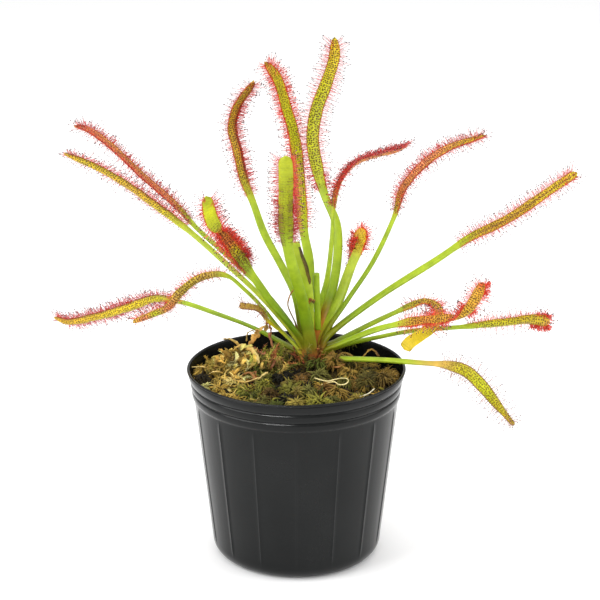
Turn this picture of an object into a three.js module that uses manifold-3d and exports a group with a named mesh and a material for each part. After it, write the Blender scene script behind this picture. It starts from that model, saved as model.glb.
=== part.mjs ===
// A cape sundew in its nursery pot, in millimetres, +Z up.
// The origin is the middle of the pot's flat base, on the surface that it stands on.
import * as THREE from "three";
import { mergeVertices } from "three/addons/utils/BufferGeometryUtils.js";
import Module from "manifold-3d";

const wasm = await Module();
wasm.setup();

// Pot: a thin-walled nursery pot.
const POT_HEIGHT = 81;
const LIP_RADIUS = 45;
const FOOT_RADIUS = 35;
const FLAT_RADIUS = 28;
const WALL = 1.1;
const BASE_THICKNESS = 1.4;
const RIB_COUNT = 15;
const RIB_HEIGHT = 0.45;
const RIB_BOTTOM = 8;
const RIB_TOP = 66.5;
const RIB_HALF_ANGLE = 0.6;
const BODY_TOP = 68.5;
const BODY_TOP_RADIUS = 42.2;
const MOUTH_RADIUS = 41.9;
const RINGS = [[43, 70.3], [43.6, 74.1]];
const RING_DEPTH = 0.5;
const DRAIN_HOLES = 6;
const DRAIN_RADIUS = 2.6;
const DRAIN_CIRCLE = 19;

// Growing medium: the lumpy moss and fibre in the pot.
const MEDIUM_LEVEL = 77;
const MEDIUM_CLEARANCE = 0.7;
const STEM_HOLE_RADIUS = 5.4;
const STEM_HOLE_BOTTOM = 61.6;

// Crown: the stem's axis, off the middle of the pot.
const CROWN = new THREE.Vector2(6.5, 10);
const PETIOLE_START = 5.45;
const STEM_TOP = 93;

// Leaves.
const FRAME_STEPS = 120;
const PETIOLE_THICKNESS = 1;
const BLADE_THICKNESS = 0.8;
const PETIOLE_STATIONS = 6;
const BLADE_STATIONS = 10;
const TENTACLE_SPACING = 2.5;
const TENTACLE_ROOT = 0.24;
const TENTACLE_GLAND = 0.36;
const MARGIN_TENTACLE = 5;
const FACE_TENTACLE = 3;
const TENTACLE_CLEARANCE = 3.6;

// Stubs, withered leaves and fibre.
const STRAP_STATIONS = 8;
const WITHERED_SEAT = new THREE.Vector2(-7, 4);
const WITHERED_LIFT = 2.35;
const FLOWER_STALK_RADIUS = 1.1;
const FIBRE_RADIUS = 0.35;
const FIBRE_LIFT = 2;

const material = (color, roughness) => new THREE.MeshStandardMaterial({ color, roughness, metalness: 0 });
const potPlastic = material("#323434", 0.45);
const mossBrown = material("#6d6a33", 0.95);
const stemBrown = material("#8a5a3a", 0.8);
const leafGreen = material("#b9b83c", 0.5);
const leafOlive = material("#a7a03a", 0.55);
const leafOchre = material("#c09a38", 0.55);
const leafRed = material("#c0603c", 0.55);
const witheredBrown = material("#a5702f", 0.85);
const paleFibre = material("#d9cfa6", 0.8);

const radians = THREE.MathUtils.degToRad;
const lerp = THREE.MathUtils.lerp;
const mapLinear = THREE.MathUtils.mapLinear;
const smooth = THREE.MathUtils.smoothstep;

// A small seeded random draw, the same on every run.
function seededRandom(seed) {
  let state = seed;
  return () => {
    state = (state * 16807) % 2147483647;
    return state / 2147483647;
  };
}

// Closed geometry to a manifold solid, and back.
function toSolid(geometry) {
  const bare = geometry.clone();
  bare.deleteAttribute("normal");
  bare.deleteAttribute("uv");
  const merged = mergeVertices(bare, 1e-4);
  return new wasm.Manifold(new wasm.Mesh({
    numProp: 3,
    vertProperties: new Float32Array(merged.attributes.position.array),
    triVerts: new Uint32Array(merged.index.array),
  }));
}

function toMesh(name, solid, finish) {
  const data = solid.getMesh();
  const geometry = new THREE.BufferGeometry();
  geometry.setAttribute("position", new THREE.BufferAttribute(new Float32Array(data.vertProperties), 3));
  geometry.setIndex(new THREE.BufferAttribute(new Uint32Array(data.triVerts), 1));
  const mesh = new THREE.Mesh(geometry, finish);
  mesh.name = name;
  return mesh;
}

// Moves every point of a geometry to the place that a function gives it.
function mapPoints(geometry, place) {
  const position = geometry.attributes.position;
  const point = new THREE.Vector3();
  for (let i = 0; i < position.count; i += 1) {
    point.fromBufferAttribute(position, i);
    place(point);
    position.setXYZ(i, point.x, point.y, point.z);
  }
  return geometry;
}

// A turned solid that stands along +Z, from [radius, height] pairs.
function turned(profile, segments) {
  const points = profile.map(([radius, height]) => new THREE.Vector2(radius, height));
  return new THREE.LatheGeometry(points, segments).rotateX(Math.PI / 2);
}

// ---- pot ----

function innerRadius(height) {
  return mapLinear(height, 7, POT_HEIGHT - 4, FOOT_RADIUS - WALL, MOUTH_RADIUS);
}

function outerRadius(height) {
  return mapLinear(height, 7, BODY_TOP, FOOT_RADIUS, BODY_TOP_RADIUS);
}

function potProfile() {
  const profile = [
    [0, 0],
    [FLAT_RADIUS, 0],
    [FOOT_RADIUS - 3.4, 0.9],
    [FOOT_RADIUS - 1, 3.3],
    [FOOT_RADIUS, 7],
    [outerRadius(RIB_BOTTOM) + 0.02, RIB_BOTTOM],
    [outerRadius(RIB_TOP) + 0.02, RIB_TOP],
    [BODY_TOP_RADIUS, BODY_TOP],
  ];
  RINGS.forEach(([radius, height]) => {
    profile.push([radius, height]);
    profile.push([radius - RING_DEPTH, height + 1.9]);
  });
  profile.push([LIP_RADIUS - 0.5, POT_HEIGHT - 3.4]);
  profile.push([LIP_RADIUS, POT_HEIGHT - 2]);
  profile.push([LIP_RADIUS - 0.1, POT_HEIGHT - 0.5]);
  profile.push([LIP_RADIUS - 0.8, POT_HEIGHT]);
  profile.push([LIP_RADIUS - 1.5, POT_HEIGHT - 0.6]);
  profile.push([innerRadius(POT_HEIGHT - 4), POT_HEIGHT - 4]);
  profile.push([innerRadius(7), 7]);
  profile.push([FOOT_RADIUS - 3.6, 2.9]);
  profile.push([FLAT_RADIUS, BASE_THICKNESS]);
  profile.push([0, BASE_THICKNESS]);
  return profile;
}

// Each rib takes three columns of points, close together, with the middle one raised.
function makePot() {
  const columns = RIB_COUNT * 4;
  const step = 360 / RIB_COUNT;
  const columnAngles = [0, RIB_HALF_ANGLE, step / 2, step - RIB_HALF_ANGLE];
  const body = mapPoints(turned(potProfile(), columns), (point) => {
    const radius = Math.hypot(point.x, point.y);
    if (radius < 1e-6) {
      return;
    }
    const angle = THREE.MathUtils.euclideanModulo(Math.atan2(point.y, point.x), 2 * Math.PI);
    const column = Math.round((angle / (2 * Math.PI)) * columns) % columns;
    const turn = radians(Math.floor(column / 4) * step + columnAngles[column % 4] - 90);
    const onRib = column % 4 === 0 && point.z >= RIB_BOTTOM && point.z <= RIB_TOP;
    const outside = radius > outerRadius(point.z) - WALL / 2;
    const reach = onRib && outside ? radius + RIB_HEIGHT : radius;
    point.set(reach * Math.cos(turn), reach * Math.sin(turn), point.z);
  });
  let solid = toSolid(body);
  for (let i = 0; i < DRAIN_HOLES; i += 1) {
    const turn = radians((i * 360) / DRAIN_HOLES);
    const hole = new THREE.CylinderGeometry(DRAIN_RADIUS, DRAIN_RADIUS, 4 * BASE_THICKNESS, 10)
      .rotateX(Math.PI / 2)
      .translate(DRAIN_CIRCLE * Math.cos(turn), DRAIN_CIRCLE * Math.sin(turn), 0);
    solid = solid.subtract(toSolid(hole));
  }
  return toMesh("pot", solid, potPlastic);
}

// ---- growing medium ----

const bump = (x, y, height, width) => height * Math.exp(-(x * x + y * y) / (2 * width * width));

function mediumHeight(x, y) {
  const lumps = 1.1 * Math.sin(0.42 * x + 0.7) * Math.cos(0.38 * y - 0.4) + 0.7 * Math.sin(0.9 * x - 0.5 * y);
  const mound = bump(x - CROWN.x, y - CROWN.y, 2, 11);
  const front = bump(x, y + 30, 1.2, 16);
  const hollowLeft = bump(x + 24, y - 27, -10, 9);
  const hollowRight = bump(x - 33, y - 26, -10, 9);
  return MEDIUM_LEVEL + lumps + mound + front + hollowLeft + hollowRight;
}

function makeMedium() {
  const rings = [0.93, 0.83, 0.72, 0.6, 0.48, 0.36, 0.24, 0.12];
  const edge = innerRadius(MEDIUM_LEVEL) - MEDIUM_CLEARANCE;
  const profile = [
    [0, BASE_THICKNESS + 0.4],
    [FLAT_RADIUS - 1, BASE_THICKNESS + 0.4],
    [innerRadius(7) - MEDIUM_CLEARANCE, 7],
    [edge, MEDIUM_LEVEL],
    ...rings.map((share) => [edge * share, MEDIUM_LEVEL]),
    [0, MEDIUM_LEVEL],
  ];
  const body = mapPoints(turned(profile, 40), (point) => {
    if (point.z < MEDIUM_LEVEL - 0.1) {
      return;
    }
    point.z = mediumHeight(point.x, point.y);
    const radius = Math.hypot(point.x, point.y);
    const limit = innerRadius(point.z) - MEDIUM_CLEARANCE;
    if (radius > limit) {
      point.x *= limit / radius;
      point.y *= limit / radius;
    }
  });
  const holeHeight = 40;
  const hole = new THREE.CylinderGeometry(STEM_HOLE_RADIUS, STEM_HOLE_RADIUS, holeHeight, 14)
    .rotateX(Math.PI / 2)
    .translate(CROWN.x, CROWN.y, STEM_HOLE_BOTTOM + holeHeight / 2);
  return toMesh("growing_medium", toSolid(body).subtract(toSolid(hole)), mossBrown);
}

// ---- stem ----

function makeStem() {
  const profile = [
    [0, 62],
    [1.3, 62],
    [2.2, 67],
    [3.6, 72],
    [4.5, 78],
    [4.8, 82],
    [4.6, 87],
    [4.4, 91],
    [3.9, STEM_TOP],
    [0, STEM_TOP],
  ];
  const body = turned(profile, 14).translate(CROWN.x, CROWN.y, 0);
  return toMesh("stem", toSolid(body), stemBrown);
}

// ---- leaves ----

// Carries a strap's side and upper direction along its curve, from the upright plane of its heading.
// A place on the curve runs from 0 at the base to 1 at the tip.
function strapFrames(curve, heading, turnAt) {
  const sides = [];
  const side = new THREE.Vector3(Math.sin(heading), -Math.cos(heading), 0);
  for (let i = 0; i <= FRAME_STEPS; i += 1) {
    const along = curve.getTangentAt(i / FRAME_STEPS);
    side.addScaledVector(along, -side.dot(along)).normalize();
    sides.push(side.clone());
  }
  return (u) => {
    const centre = curve.getPointAt(u);
    const along = curve.getTangentAt(u);
    const carried = sides[Math.round(u * FRAME_STEPS)].clone();
    carried.addScaledVector(along, -carried.dot(along)).normalize().applyAxisAngle(along, turnAt(u));
    return { centre, along, side: carried, up: new THREE.Vector3().crossVectors(carried, along) };
  };
}

// A strap swept along a curve: a flat four-sided section whose width and thickness follow the curve.
function makeStrap(frameAt, shape, stations) {
  const geometry = new THREE.BoxGeometry(2, 1, 2, 1, stations, 1);
  return mapPoints(geometry, (point) => {
    const u = shape.stationAt(point.y + 0.5);
    const frame = frameAt(u);
    const across = point.x * shape.halfWidth(u);
    const lift = point.z * shape.halfThickness(u);
    point.copy(frame.centre).addScaledVector(frame.side, across).addScaledVector(frame.up, lift);
  });
}

// Places a leaf's [out, aside, up] points in its own upright plane through the crown.
function leafCurve(leaf) {
  const heading = radians(leaf.heading);
  const outward = new THREE.Vector3(Math.cos(heading), Math.sin(heading), 0);
  const leftward = new THREE.Vector3(-Math.sin(heading), Math.cos(heading), 0);
  const [baseAngle, baseHeight] = leaf.base;
  const start = new THREE.Vector3(
    CROWN.x + PETIOLE_START * Math.cos(radians(baseAngle)),
    CROWN.y + PETIOLE_START * Math.sin(radians(baseAngle)),
    baseHeight,
  );
  const points = leaf.path.map(([out, aside, up]) => new THREE.Vector3(CROWN.x, CROWN.y, up)
    .addScaledVector(outward, out)
    .addScaledVector(leftward, aside));
  return new THREE.CatmullRomCurve3([start, ...points], false, "centripetal");
}

// The petiole widens from its base, the blade opens out where the tentacles start, and the tip is round.
function leafShape(leaf) {
  const { bladeFrom, petiole, blade } = leaf;
  const base = 1.7;
  const split = PETIOLE_STATIONS / (PETIOLE_STATIONS + BLADE_STATIONS);
  return {
    stationAt: (t) => (t < split ? (t / split) * bladeFrom : mapLinear(t, split, 1, bladeFrom, 1)),
    turnAt: (u) => radians(u < bladeFrom
      ? leaf.turn[0] * smooth(u, 0, bladeFrom)
      : mapLinear(u, bladeFrom, 1, leaf.turn[0], leaf.turn[1])),
    halfWidth: (u) => {
      const stalk = lerp(base, petiole, smooth(u, 0, bladeFrom * 0.6));
      const open = lerp(stalk, blade, smooth(u, bladeFrom - 0.02, bladeFrom + 0.09));
      const taper = Math.sqrt(Math.max(0.12, 1 - Math.max(0, (u - 0.9) / 0.1) ** 2));
      return (open * taper) / 2;
    },
    halfThickness: (u) => lerp(PETIOLE_THICKNESS, BLADE_THICKNESS, smooth(u, 0, bladeFrom)) / 2,
  };
}

// One three-sided tentacle, a little thicker at its gland, from its root to its tip.
function makeTentacle(root, tip) {
  const reach = new THREE.Vector3().subVectors(tip, root);
  const length = reach.length();
  const turn = new THREE.Quaternion().setFromUnitVectors(new THREE.Vector3(0, 0, 1), reach.normalize());
  const corners = [90, 210, 330].map(radians)
    .map((angle) => new THREE.Vector2(Math.cos(angle), Math.sin(angle)));
  const stalk = new THREE.ExtrudeGeometry(new THREE.Shape(corners), { depth: length, bevelEnabled: false });
  mapPoints(stalk, (point) => {
    const radius = point.z > length / 2 ? TENTACLE_GLAND : TENTACLE_ROOT;
    point.x *= radius;
    point.y *= radius;
  });
  return stalk.applyQuaternion(turn).translate(root.x, root.y, root.z);
}

// Where the tentacles of a leaf stand: both margins by turns, the upper face between, and round the tip.
function tentacleEnds(leaf, frameAt, shape, leafLength) {
  const random = seededRandom(leaf.seed);
  const bladeLength = leafLength * (1 - leaf.bladeFrom);
  const count = Math.round(bladeLength / TENTACLE_SPACING);
  const acrossTurns = [-1, 0.4, 1, -0.4];
  const ends = [];
  for (let i = 0; i < count; i += 1) {
    const u = leaf.bladeFrom + 0.01 + ((i + 0.5) / count) * (0.985 - leaf.bladeFrom);
    const across = acrossTurns[i % 4];
    const onMargin = Math.abs(across) === 1;
    const frame = frameAt(u);
    const length = (onMargin ? MARGIN_TENTACLE : FACE_TENTACLE) * (0.85 + 0.3 * random());
    const slant = random() - 0.5;
    const way = new THREE.Vector3()
      .addScaledVector(frame.side, across)
      .addScaledVector(frame.up, onMargin ? 0.45 : 1.1)
      .addScaledVector(frame.along, 0.5 * slant + 0.4 * smooth(u, 0.9, 1))
      .normalize();
    const root = frame.centre.clone().addScaledVector(frame.side, across * shape.halfWidth(u) * 0.6);
    ends.push([root, root.clone().addScaledVector(way, length + shape.halfWidth(u) * 0.4)]);
  }
  for (const across of [-0.6, 0, 0.6]) {
    const frame = frameAt(0.985);
    const way = frame.along.clone()
      .addScaledVector(frame.side, across)
      .addScaledVector(frame.up, 0.2)
      .normalize();
    const root = frame.centre.clone().addScaledVector(frame.side, across * 0.5);
    ends.push([root, root.clone().addScaledVector(way, MARGIN_TENTACLE)]);
  }
  return ends;
}

// Each leaf starts on the stem at base [angle, height] and follows [out, aside, up] points in the
// upright plane of its heading. Its blade turns about its own length from turn[0] to turn[1] degrees.
const leaves = [
  {
    name: "leaf_far_left_low", heading: 158, base: [158, 82.5], petiole: 2.3, blade: 4.8, bladeFrom: 0.5,
    turn: [30, 40], seed: 11, finish: leafOchre,
    path: [[11, 0, 85], [26, 0, 91], [43, 0, 95], [59, 0, 98], [71, 0, 98], [85, 0, 92], [100, 0, 86],
      [114, 0, 82], [120, 0, 83.5]],
  },
  {
    name: "leaf_left_curled", heading: 174, base: [180, 85], petiole: 1.9, blade: 4.6, bladeFrom: 0.48,
    turn: [30, 40], seed: 12, finish: leafOchre,
    path: [[13, 0, 93], [21, 0, 103], [28, 0, 110], [36, 0, 116], [46, 0, 114.5], [55, 0, 107.5], [60, 0, 101],
      [67, 0, 97.5], [75, 0, 94]],
  },
  {
    name: "leaf_left", heading: 195, base: [205, 88], petiole: 2.6, blade: 4.8, bladeFrom: 0.55,
    turn: [35, 35], seed: 13, finish: leafGreen,
    path: [[20, 0, 108], [35, 0, 124], [50, 0, 139], [64, 0, 151], [76, 0, 161], [88, 0, 169], [101, 0, 176]],
  },
  {
    name: "leaf_left_high", heading: 179, base: [181, 90], petiole: 2.4, blade: 4.8, bladeFrom: 0.52,
    turn: [-35, -35], seed: 14, finish: leafRed,
    path: [[17, 0, 107], [32, 0, 123], [46, 0, 136], [57, 0, 148], [69, 0, 159], [81, 0, 171], [90, 0, 178],
      [96, 0, 180]],
  },
  {
    name: "leaf_front_left", heading: 218, base: [229, 89], petiole: 3, blade: 5.2, bladeFrom: 0.53,
    turn: [20, 10], seed: 15, finish: leafRed,
    path: [[22, 0, 111], [34, 0, 128], [39, 0, 135], [46, 0, 144], [50, 0, 148.5], [52, 0, 154], [53, 0, 160]],
  },
  {
    name: "leaf_back_left", heading: 140, base: [136, 90], petiole: 2.3, blade: 4.6, bladeFrom: 0.53,
    turn: [-10, -20], seed: 16, finish: leafRed,
    path: [[9, 0, 106.5], [16, 0, 117], [26, 0, 130], [32, 0, 142], [37, 0, 151], [41, 0, 164], [43.5, 0, 172.5],
      [40.5, 0, 182], [31, 0, 194]],
  },
  {
    name: "leaf_back", heading: 100, base: [112, 90.5], petiole: 3, blade: 4.8, bladeFrom: 0.37,
    turn: [5, 10], seed: 17, finish: leafGreen,
    path: [[18, -2, 116], [27, -1, 129], [35, -1, 142], [41, -1, 154], [46, 0, 166], [49, 2, 174], [52, 6, 188],
      [53, 11, 195]],
  },
  {
    name: "leaf_front", heading: 262, base: [258, 89.5], petiole: 3.4, blade: 5.2, bladeFrom: 0.55,
    turn: [5, 10], seed: 18, finish: leafGreen,
    path: [[8, -2, 103], [12, -3, 112], [17, -5, 123], [22, -7, 136], [27, -7, 149], [33, -6, 168], [35, -6, 177]],
  },
  {
    name: "leaf_back_tall", heading: 78, base: [64, 90], petiole: 3, blade: 5.2, bladeFrom: 0.45,
    turn: [0, 0], seed: 19, finish: leafGreen,
    path: [[8.5, -4.2, 99], [18, -6.6, 116], [26, -5, 131], [31, 1, 142], [35, 5, 152], [39, 8, 164], [42, 7, 176],
      [44, 3, 188], [45, 0, 199], [45, 0, 207]],
  },
  {
    name: "leaf_right_arched", heading: 48, base: [88, 91], petiole: 2.2, blade: 4.2, bladeFrom: 0.47,
    turn: [-30, -30], seed: 20, finish: leafRed,
    path: [[9, 0, 113], [12, 0, 131], [13, 0, 144], [16.5, 0, 153], [25, 0, 159], [40, 0, 160], [52, 0, 159.5],
      [60, 0, 160.5]],
  },
  {
    name: "leaf_right_high", heading: 13, base: [17, 91], petiole: 2.2, blade: 4.6, bladeFrom: 0.53,
    turn: [35, 35], seed: 21, finish: leafRed,
    path: [[15, 0, 105.5], [25.5, 0, 121], [34.5, 0, 140], [38.5, 0, 152], [47, 0, 161.5], [57, 0, 167.5],
      [73, 0, 172]],
  },
  {
    name: "leaf_right", heading: 8, base: [-4, 89.5], petiole: 2.7, blade: 4.4, bladeFrom: 0.54,
    turn: [35, 30], seed: 22, finish: leafOchre,
    path: [[11, 0, 94.5], [29, 0, 107.5], [51, 0, 121], [65, 0, 130], [82, 0, 138], [97, 0, 148], [110, 0, 156.5]],
  },
  {
    name: "leaf_back_right_hooked", heading: 36, base: [41, 88.5], petiole: 3.4, blade: 5, bladeFrom: 0.55,
    turn: [10, 10], seed: 23, finish: leafRed,
    path: [[13, -1, 104.5], [20, 0.5, 116.5], [26, 2, 124.5], [28.5, 4, 128], [29, 8, 128.5], [28, 11, 124],
      [27, 12.5, 116.5]],
  },
  {
    name: "leaf_right_curled", heading: 16, base: [30, 84.5], petiole: 2.4, blade: 4.4, bladeFrom: 0.46,
    turn: [10, 10], seed: 24, finish: leafOchre,
    path: [[11, 1.5, 87], [30, 2, 94.5], [42, 1.5, 99], [48.5, 0.5, 101], [52, -2.5, 100.5], [52.5, -7, 98],
      [49, -11, 94.5], [43, -13.5, 91.5], [38, -14, 89], [35.5, -14, 86]],
  },
  {
    name: "leaf_right_upturned", heading: -12, base: [-15, 85], petiole: 2.4, blade: 4.6, bladeFrom: 0.43,
    turn: [30, 0], seed: 25, finish: leafRed,
    path: [[11, 0, 88], [28, 0, 96], [40, 0, 99.5], [54, 0, 102], [62, 0, 104], [67, 0, 110.5], [70.5, 0, 119]],
  },
  {
    name: "leaf_right_level", heading: 6, base: [7, 83], petiole: 2.4, blade: 4.8, bladeFrom: 0.63,
    turn: [-30, -30], seed: 26, finish: leafOlive,
    path: [[11, 0, 86], [28, 0, 89.5], [41, 0, 91.5], [62, 0, 92.5], [79, 0, 93.5], [92, 0, 94.5], [97, 0, 96],
      [99, 0, 99]],
  },
  {
    name: "leaf_right_drooping", heading: -22, base: [-38, 81.5], petiole: 2.5, blade: 4.8, bladeFrom: 0.56,
    turn: [0, -40], seed: 27, finish: leafOlive,
    path: [[17, 0, 83], [31, 0, 84.5], [47, 0, 85.5], [59, 0, 86], [67, 0, 84.5], [74, 0, 79], [80.5, 0, 72],
      [88, 0, 64]],
  },
  {
    name: "leaf_small", heading: 195, base: [203, 84.5], petiole: 1.9, blade: 2.8, bladeFrom: 0.6,
    turn: [20, 20], seed: 28, finish: leafOchre,
    path: [[12, 0, 93], [18.5, 0, 99], [23, 0, 104.5], [28, 0, 106], [31, 0, 106.5]],
  },
];

function makeLeaf(leaf, others) {
  const curve = leafCurve(leaf);
  const shape = leafShape(leaf);
  const frameAt = strapFrames(curve, radians(leaf.heading), shape.turnAt);
  let solid = toSolid(makeStrap(frameAt, shape, PETIOLE_STATIONS + BLADE_STATIONS));
  const isClear = (place) => others.every((point) => point.distanceTo(place) > TENTACLE_CLEARANCE);
  for (const [root, tip] of tentacleEnds(leaf, frameAt, shape, curve.getLength())) {
    if (isClear(tip) && isClear(root.clone().lerp(tip, 0.5))) {
      solid = solid.add(toSolid(makeTentacle(root, tip)));
    }
  }
  return toMesh(leaf.name, solid, leaf.finish);
}

function makeLeaves() {
  const spines = leaves.map((leaf) => leafCurve(leaf).getSpacedPoints(60));
  return leaves.map((leaf, i) => makeLeaf(leaf, spines.filter((spine, j) => j !== i).flat()));
}

// ---- stubs, withered leaves and fibre ----

// A plain strap of one width and thickness through [x, y, z] points, for cut and withered pieces.
function makePlainStrap(points, width, thickness, heading, turnEnd) {
  const places = points.map((point) => new THREE.Vector3(...point));
  const curve = new THREE.CatmullRomCurve3(places, false, "centripetal");
  const shape = {
    stationAt: (t) => t,
    halfWidth: (u) => (width / 2) * (1 - 0.35 * u * u),
    halfThickness: () => thickness / 2,
  };
  const frameAt = strapFrames(curve, radians(heading), (u) => radians(turnEnd) * u);
  return toSolid(makeStrap(frameAt, shape, STRAP_STATIONS));
}

function makePetioleStub() {
  const petiole = makePlainStrap([[4.9, 8.8, STEM_TOP + 0.4], [5.6, 8.8, 105], [5.1, 9, 114], [1.4, 8, 126.5],
    [0.2, 8, 132]], 3.4, 1.5, 270, 0);
  const withered = makePlainStrap([[5, 8.6, 113], [5.6, 7.2, 118], [4.2, 6.3, 123], [2.6, 5.9, 127.5],
    [1.3, 6, 130.5]], 1.3, 0.8, 270, 30);
  return toMesh("petiole_stub", petiole.add(withered), leafGreen);
}

function makeTube(points, radius, sides, steps) {
  const corners = Array.from({ length: sides }, (_, i) => {
    const angle = (i * 2 * Math.PI) / sides;
    return new THREE.Vector2(radius * Math.cos(angle), radius * Math.sin(angle));
  });
  const extrudePath = new THREE.CatmullRomCurve3(points, false, "centripetal");
  return toSolid(new THREE.ExtrudeGeometry(new THREE.Shape(corners), { steps, extrudePath }));
}

function makeFlowerStalkStub() {
  const points = [[8.9, 11, STEM_TOP + 0.4], [8.5, 10.4, 106], [8.1, 10, 118]];
  const tube = makeTube(points.map((point) => new THREE.Vector3(...point)), FLOWER_STALK_RADIUS, 7, 4);
  return toMesh("flower_stalk_stub", tube, leafGreen);
}

function makeWitheredLeaves() {
  const seat = mediumHeight(WITHERED_SEAT.x, WITHERED_SEAT.y) + WITHERED_LIFT;
  const strips = [
    [[WITHERED_SEAT.x, WITHERED_SEAT.y, seat], [-12, 4, 86], [-16, 4, 92.5], [-20, 3, 96], [-24, 2, 93]],
    [[WITHERED_SEAT.x, WITHERED_SEAT.y, seat], [-11, 6, 84], [-15.5, 7, 88.5], [-16, 8, 94], [-13, 8, 96.5]],
    [[WITHERED_SEAT.x, WITHERED_SEAT.y, seat], [-13, 0, 84.5], [-19, -3, 88], [-24, -4, 90.5], [-27, -2, 88]],
  ];
  const solid = strips
    .map((points, i) => makePlainStrap(points, 3, 0.7, 200, 50 * (i - 1)))
    .reduce((whole, strip) => whole.add(strip));
  return toMesh("withered_leaves", solid, witheredBrown);
}

function makeFibreLoop() {
  const route = [[7.3, -12], [12.6, -13.4], [15.2, -13], [18, -11.5], [20.2, -13], [20.2, -16.5], [18.3, -19],
    [16.6, -17.4], [14.4, -15.6], [10.7, -16.6]];
  const points = route.map(([x, y]) => new THREE.Vector3(x, y, mediumHeight(x, y) + FIBRE_LIFT));
  return toMesh("fibre_loop", makeTube(points, FIBRE_RADIUS, 5, 28), paleFibre);
}

const sundew = new THREE.Group();
sundew.add(makePot(), makeMedium(), makeStem(), ...makeLeaves());
sundew.add(makePetioleStub(), makeFlowerStalkStub(), makeWitheredLeaves(), makeFibreLoop());

export default sundew;
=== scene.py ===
import bmesh
import bpy
import math
import random
from mathutils import Matrix, Quaternion, Vector, noise


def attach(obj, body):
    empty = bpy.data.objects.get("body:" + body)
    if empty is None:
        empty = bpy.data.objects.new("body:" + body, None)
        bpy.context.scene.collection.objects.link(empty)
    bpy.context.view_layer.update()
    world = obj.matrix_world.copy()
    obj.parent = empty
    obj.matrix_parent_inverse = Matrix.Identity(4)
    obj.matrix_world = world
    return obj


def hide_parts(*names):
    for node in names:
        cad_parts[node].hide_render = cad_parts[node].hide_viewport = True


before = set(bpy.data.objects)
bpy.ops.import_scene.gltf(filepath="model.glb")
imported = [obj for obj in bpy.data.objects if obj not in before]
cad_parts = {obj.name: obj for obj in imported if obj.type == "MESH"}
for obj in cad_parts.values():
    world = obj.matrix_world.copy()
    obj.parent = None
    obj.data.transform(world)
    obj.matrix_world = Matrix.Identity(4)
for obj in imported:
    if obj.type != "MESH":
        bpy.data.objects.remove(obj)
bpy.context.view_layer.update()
mm = 0.001
print("stage: frame loaded,", len(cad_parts), "nodes")


def mix(a, b, share):
    return a + (b - a) * share


def ease(value, low, high):
    share = min(1.0, max(0.0, (value - low) / (high - low)))
    return share * share * (3 - 2 * share)


def linear(colour):  # screen colour, 0 to 255, to linear light
    return tuple((c / 255 / 12.92) if c <= 10 else ((c / 255 + 0.055) / 1.055) ** 2.4 for c in colour)


def blend(a, b, share):
    return tuple(mix(x, y, share) for x, y in zip(a, b))


def smoothPath(points, steps):  # a round curve through the points, in even steps of its length
    ends = [points[0] * 2 - points[1]] + points + [points[-1] * 2 - points[-2]]
    fine = []
    perSpan = 24
    for i in range(1, len(ends) - 2):
        p0, p1, p2, p3 = ends[i - 1:i + 3]
        knots = [0.0]
        for a, b in ((p0, p1), (p1, p2), (p2, p3)):
            knots.append(knots[-1] + max((b - a).length, 1e-9) ** 0.5)
        for k in range(perSpan):
            t = mix(knots[1], knots[2], k / perSpan)
            a1 = p0.lerp(p1, t / knots[1])
            a2 = p1.lerp(p2, (t - knots[1]) / (knots[2] - knots[1]))
            a3 = p2.lerp(p3, (t - knots[2]) / (knots[3] - knots[2]))
            b1 = a1.lerp(a2, t / knots[2])
            b2 = a2.lerp(a3, (t - knots[1]) / (knots[3] - knots[1]))
            fine.append(b1.lerp(b2, (t - knots[1]) / (knots[2] - knots[1])))
    fine.append(points[-1].copy())
    reach = [0.0]
    for a, b in zip(fine, fine[1:]):
        reach.append(reach[-1] + (b - a).length)
    path = []
    j = 0
    for i in range(steps + 1):
        goal = reach[-1] * i / steps
        while j < len(reach) - 2 and reach[j + 1] < goal:
            j += 1
        path.append(fine[j].lerp(fine[j + 1], (goal - reach[j]) / max(reach[j + 1] - reach[j], 1e-12)))
    return path, reach[-1]


class Spine:  # a curve with a side and an upper direction carried along it
    steps = 240

    def __init__(self, points, side):
        self.path, self.length = smoothPath(points, self.steps)
        self.ways = []
        self.sides = []
        side = side.copy()
        for i in range(self.steps + 1):
            way = (self.path[min(i + 1, self.steps)] - self.path[max(i - 1, 0)]).normalized()
            side = (side - way * side.dot(way)).normalized()
            self.ways.append(way)
            self.sides.append(side.copy())

    def at(self, u, turn=0.0):
        place = min(max(u, 0.0), 1.0) * self.steps
        i = min(int(place), self.steps - 1)
        share = place - i
        centre = self.path[i].lerp(self.path[i + 1], share)
        way = self.ways[i].lerp(self.ways[i + 1], share).normalized()
        side = self.sides[i].lerp(self.sides[i + 1], share)
        side = Quaternion(way, turn) @ (side - way * side.dot(way)).normalized()
        return centre, way, side, side.cross(way)


def pointing(angle):  # a level direction
    return Vector((math.cos(angle), math.sin(angle), 0))


def turned(angle, axis):
    return Matrix.Rotation(angle, 4, axis)


def newTinted():
    bm = bmesh.new()
    return bm, bm.verts.layers.float_color.new("tint")


def spinProfile(bm, profile, steps):  # a form of revolution from its outline in mm
    line = [bm.verts.new((radius * mm, 0, z * mm)) for radius, z in profile]
    edges = [bm.edges.new(pair) for pair in zip(line, line[1:])]
    bmesh.ops.spin(bm, geom=line + edges, cent=(0, 0, 0), axis=(0, 0, 1), dvec=(0, 0, 0), angle=math.tau,
                   steps=steps, use_merge=True, use_duplicate=False)
    bmesh.ops.remove_doubles(bm, verts=bm.verts, dist=1e-6)
    bmesh.ops.recalc_face_normals(bm, faces=bm.faces)


def toTemplate(bm, name):
    mesh = bpy.data.meshes.new(name)
    bm.to_mesh(mesh)
    bm.free()
    mesh.shade_smooth()
    return mesh


def addObject(name, data):
    item = bpy.data.objects.new(name, data)
    bpy.context.scene.collection.objects.link(item)
    return item


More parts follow.
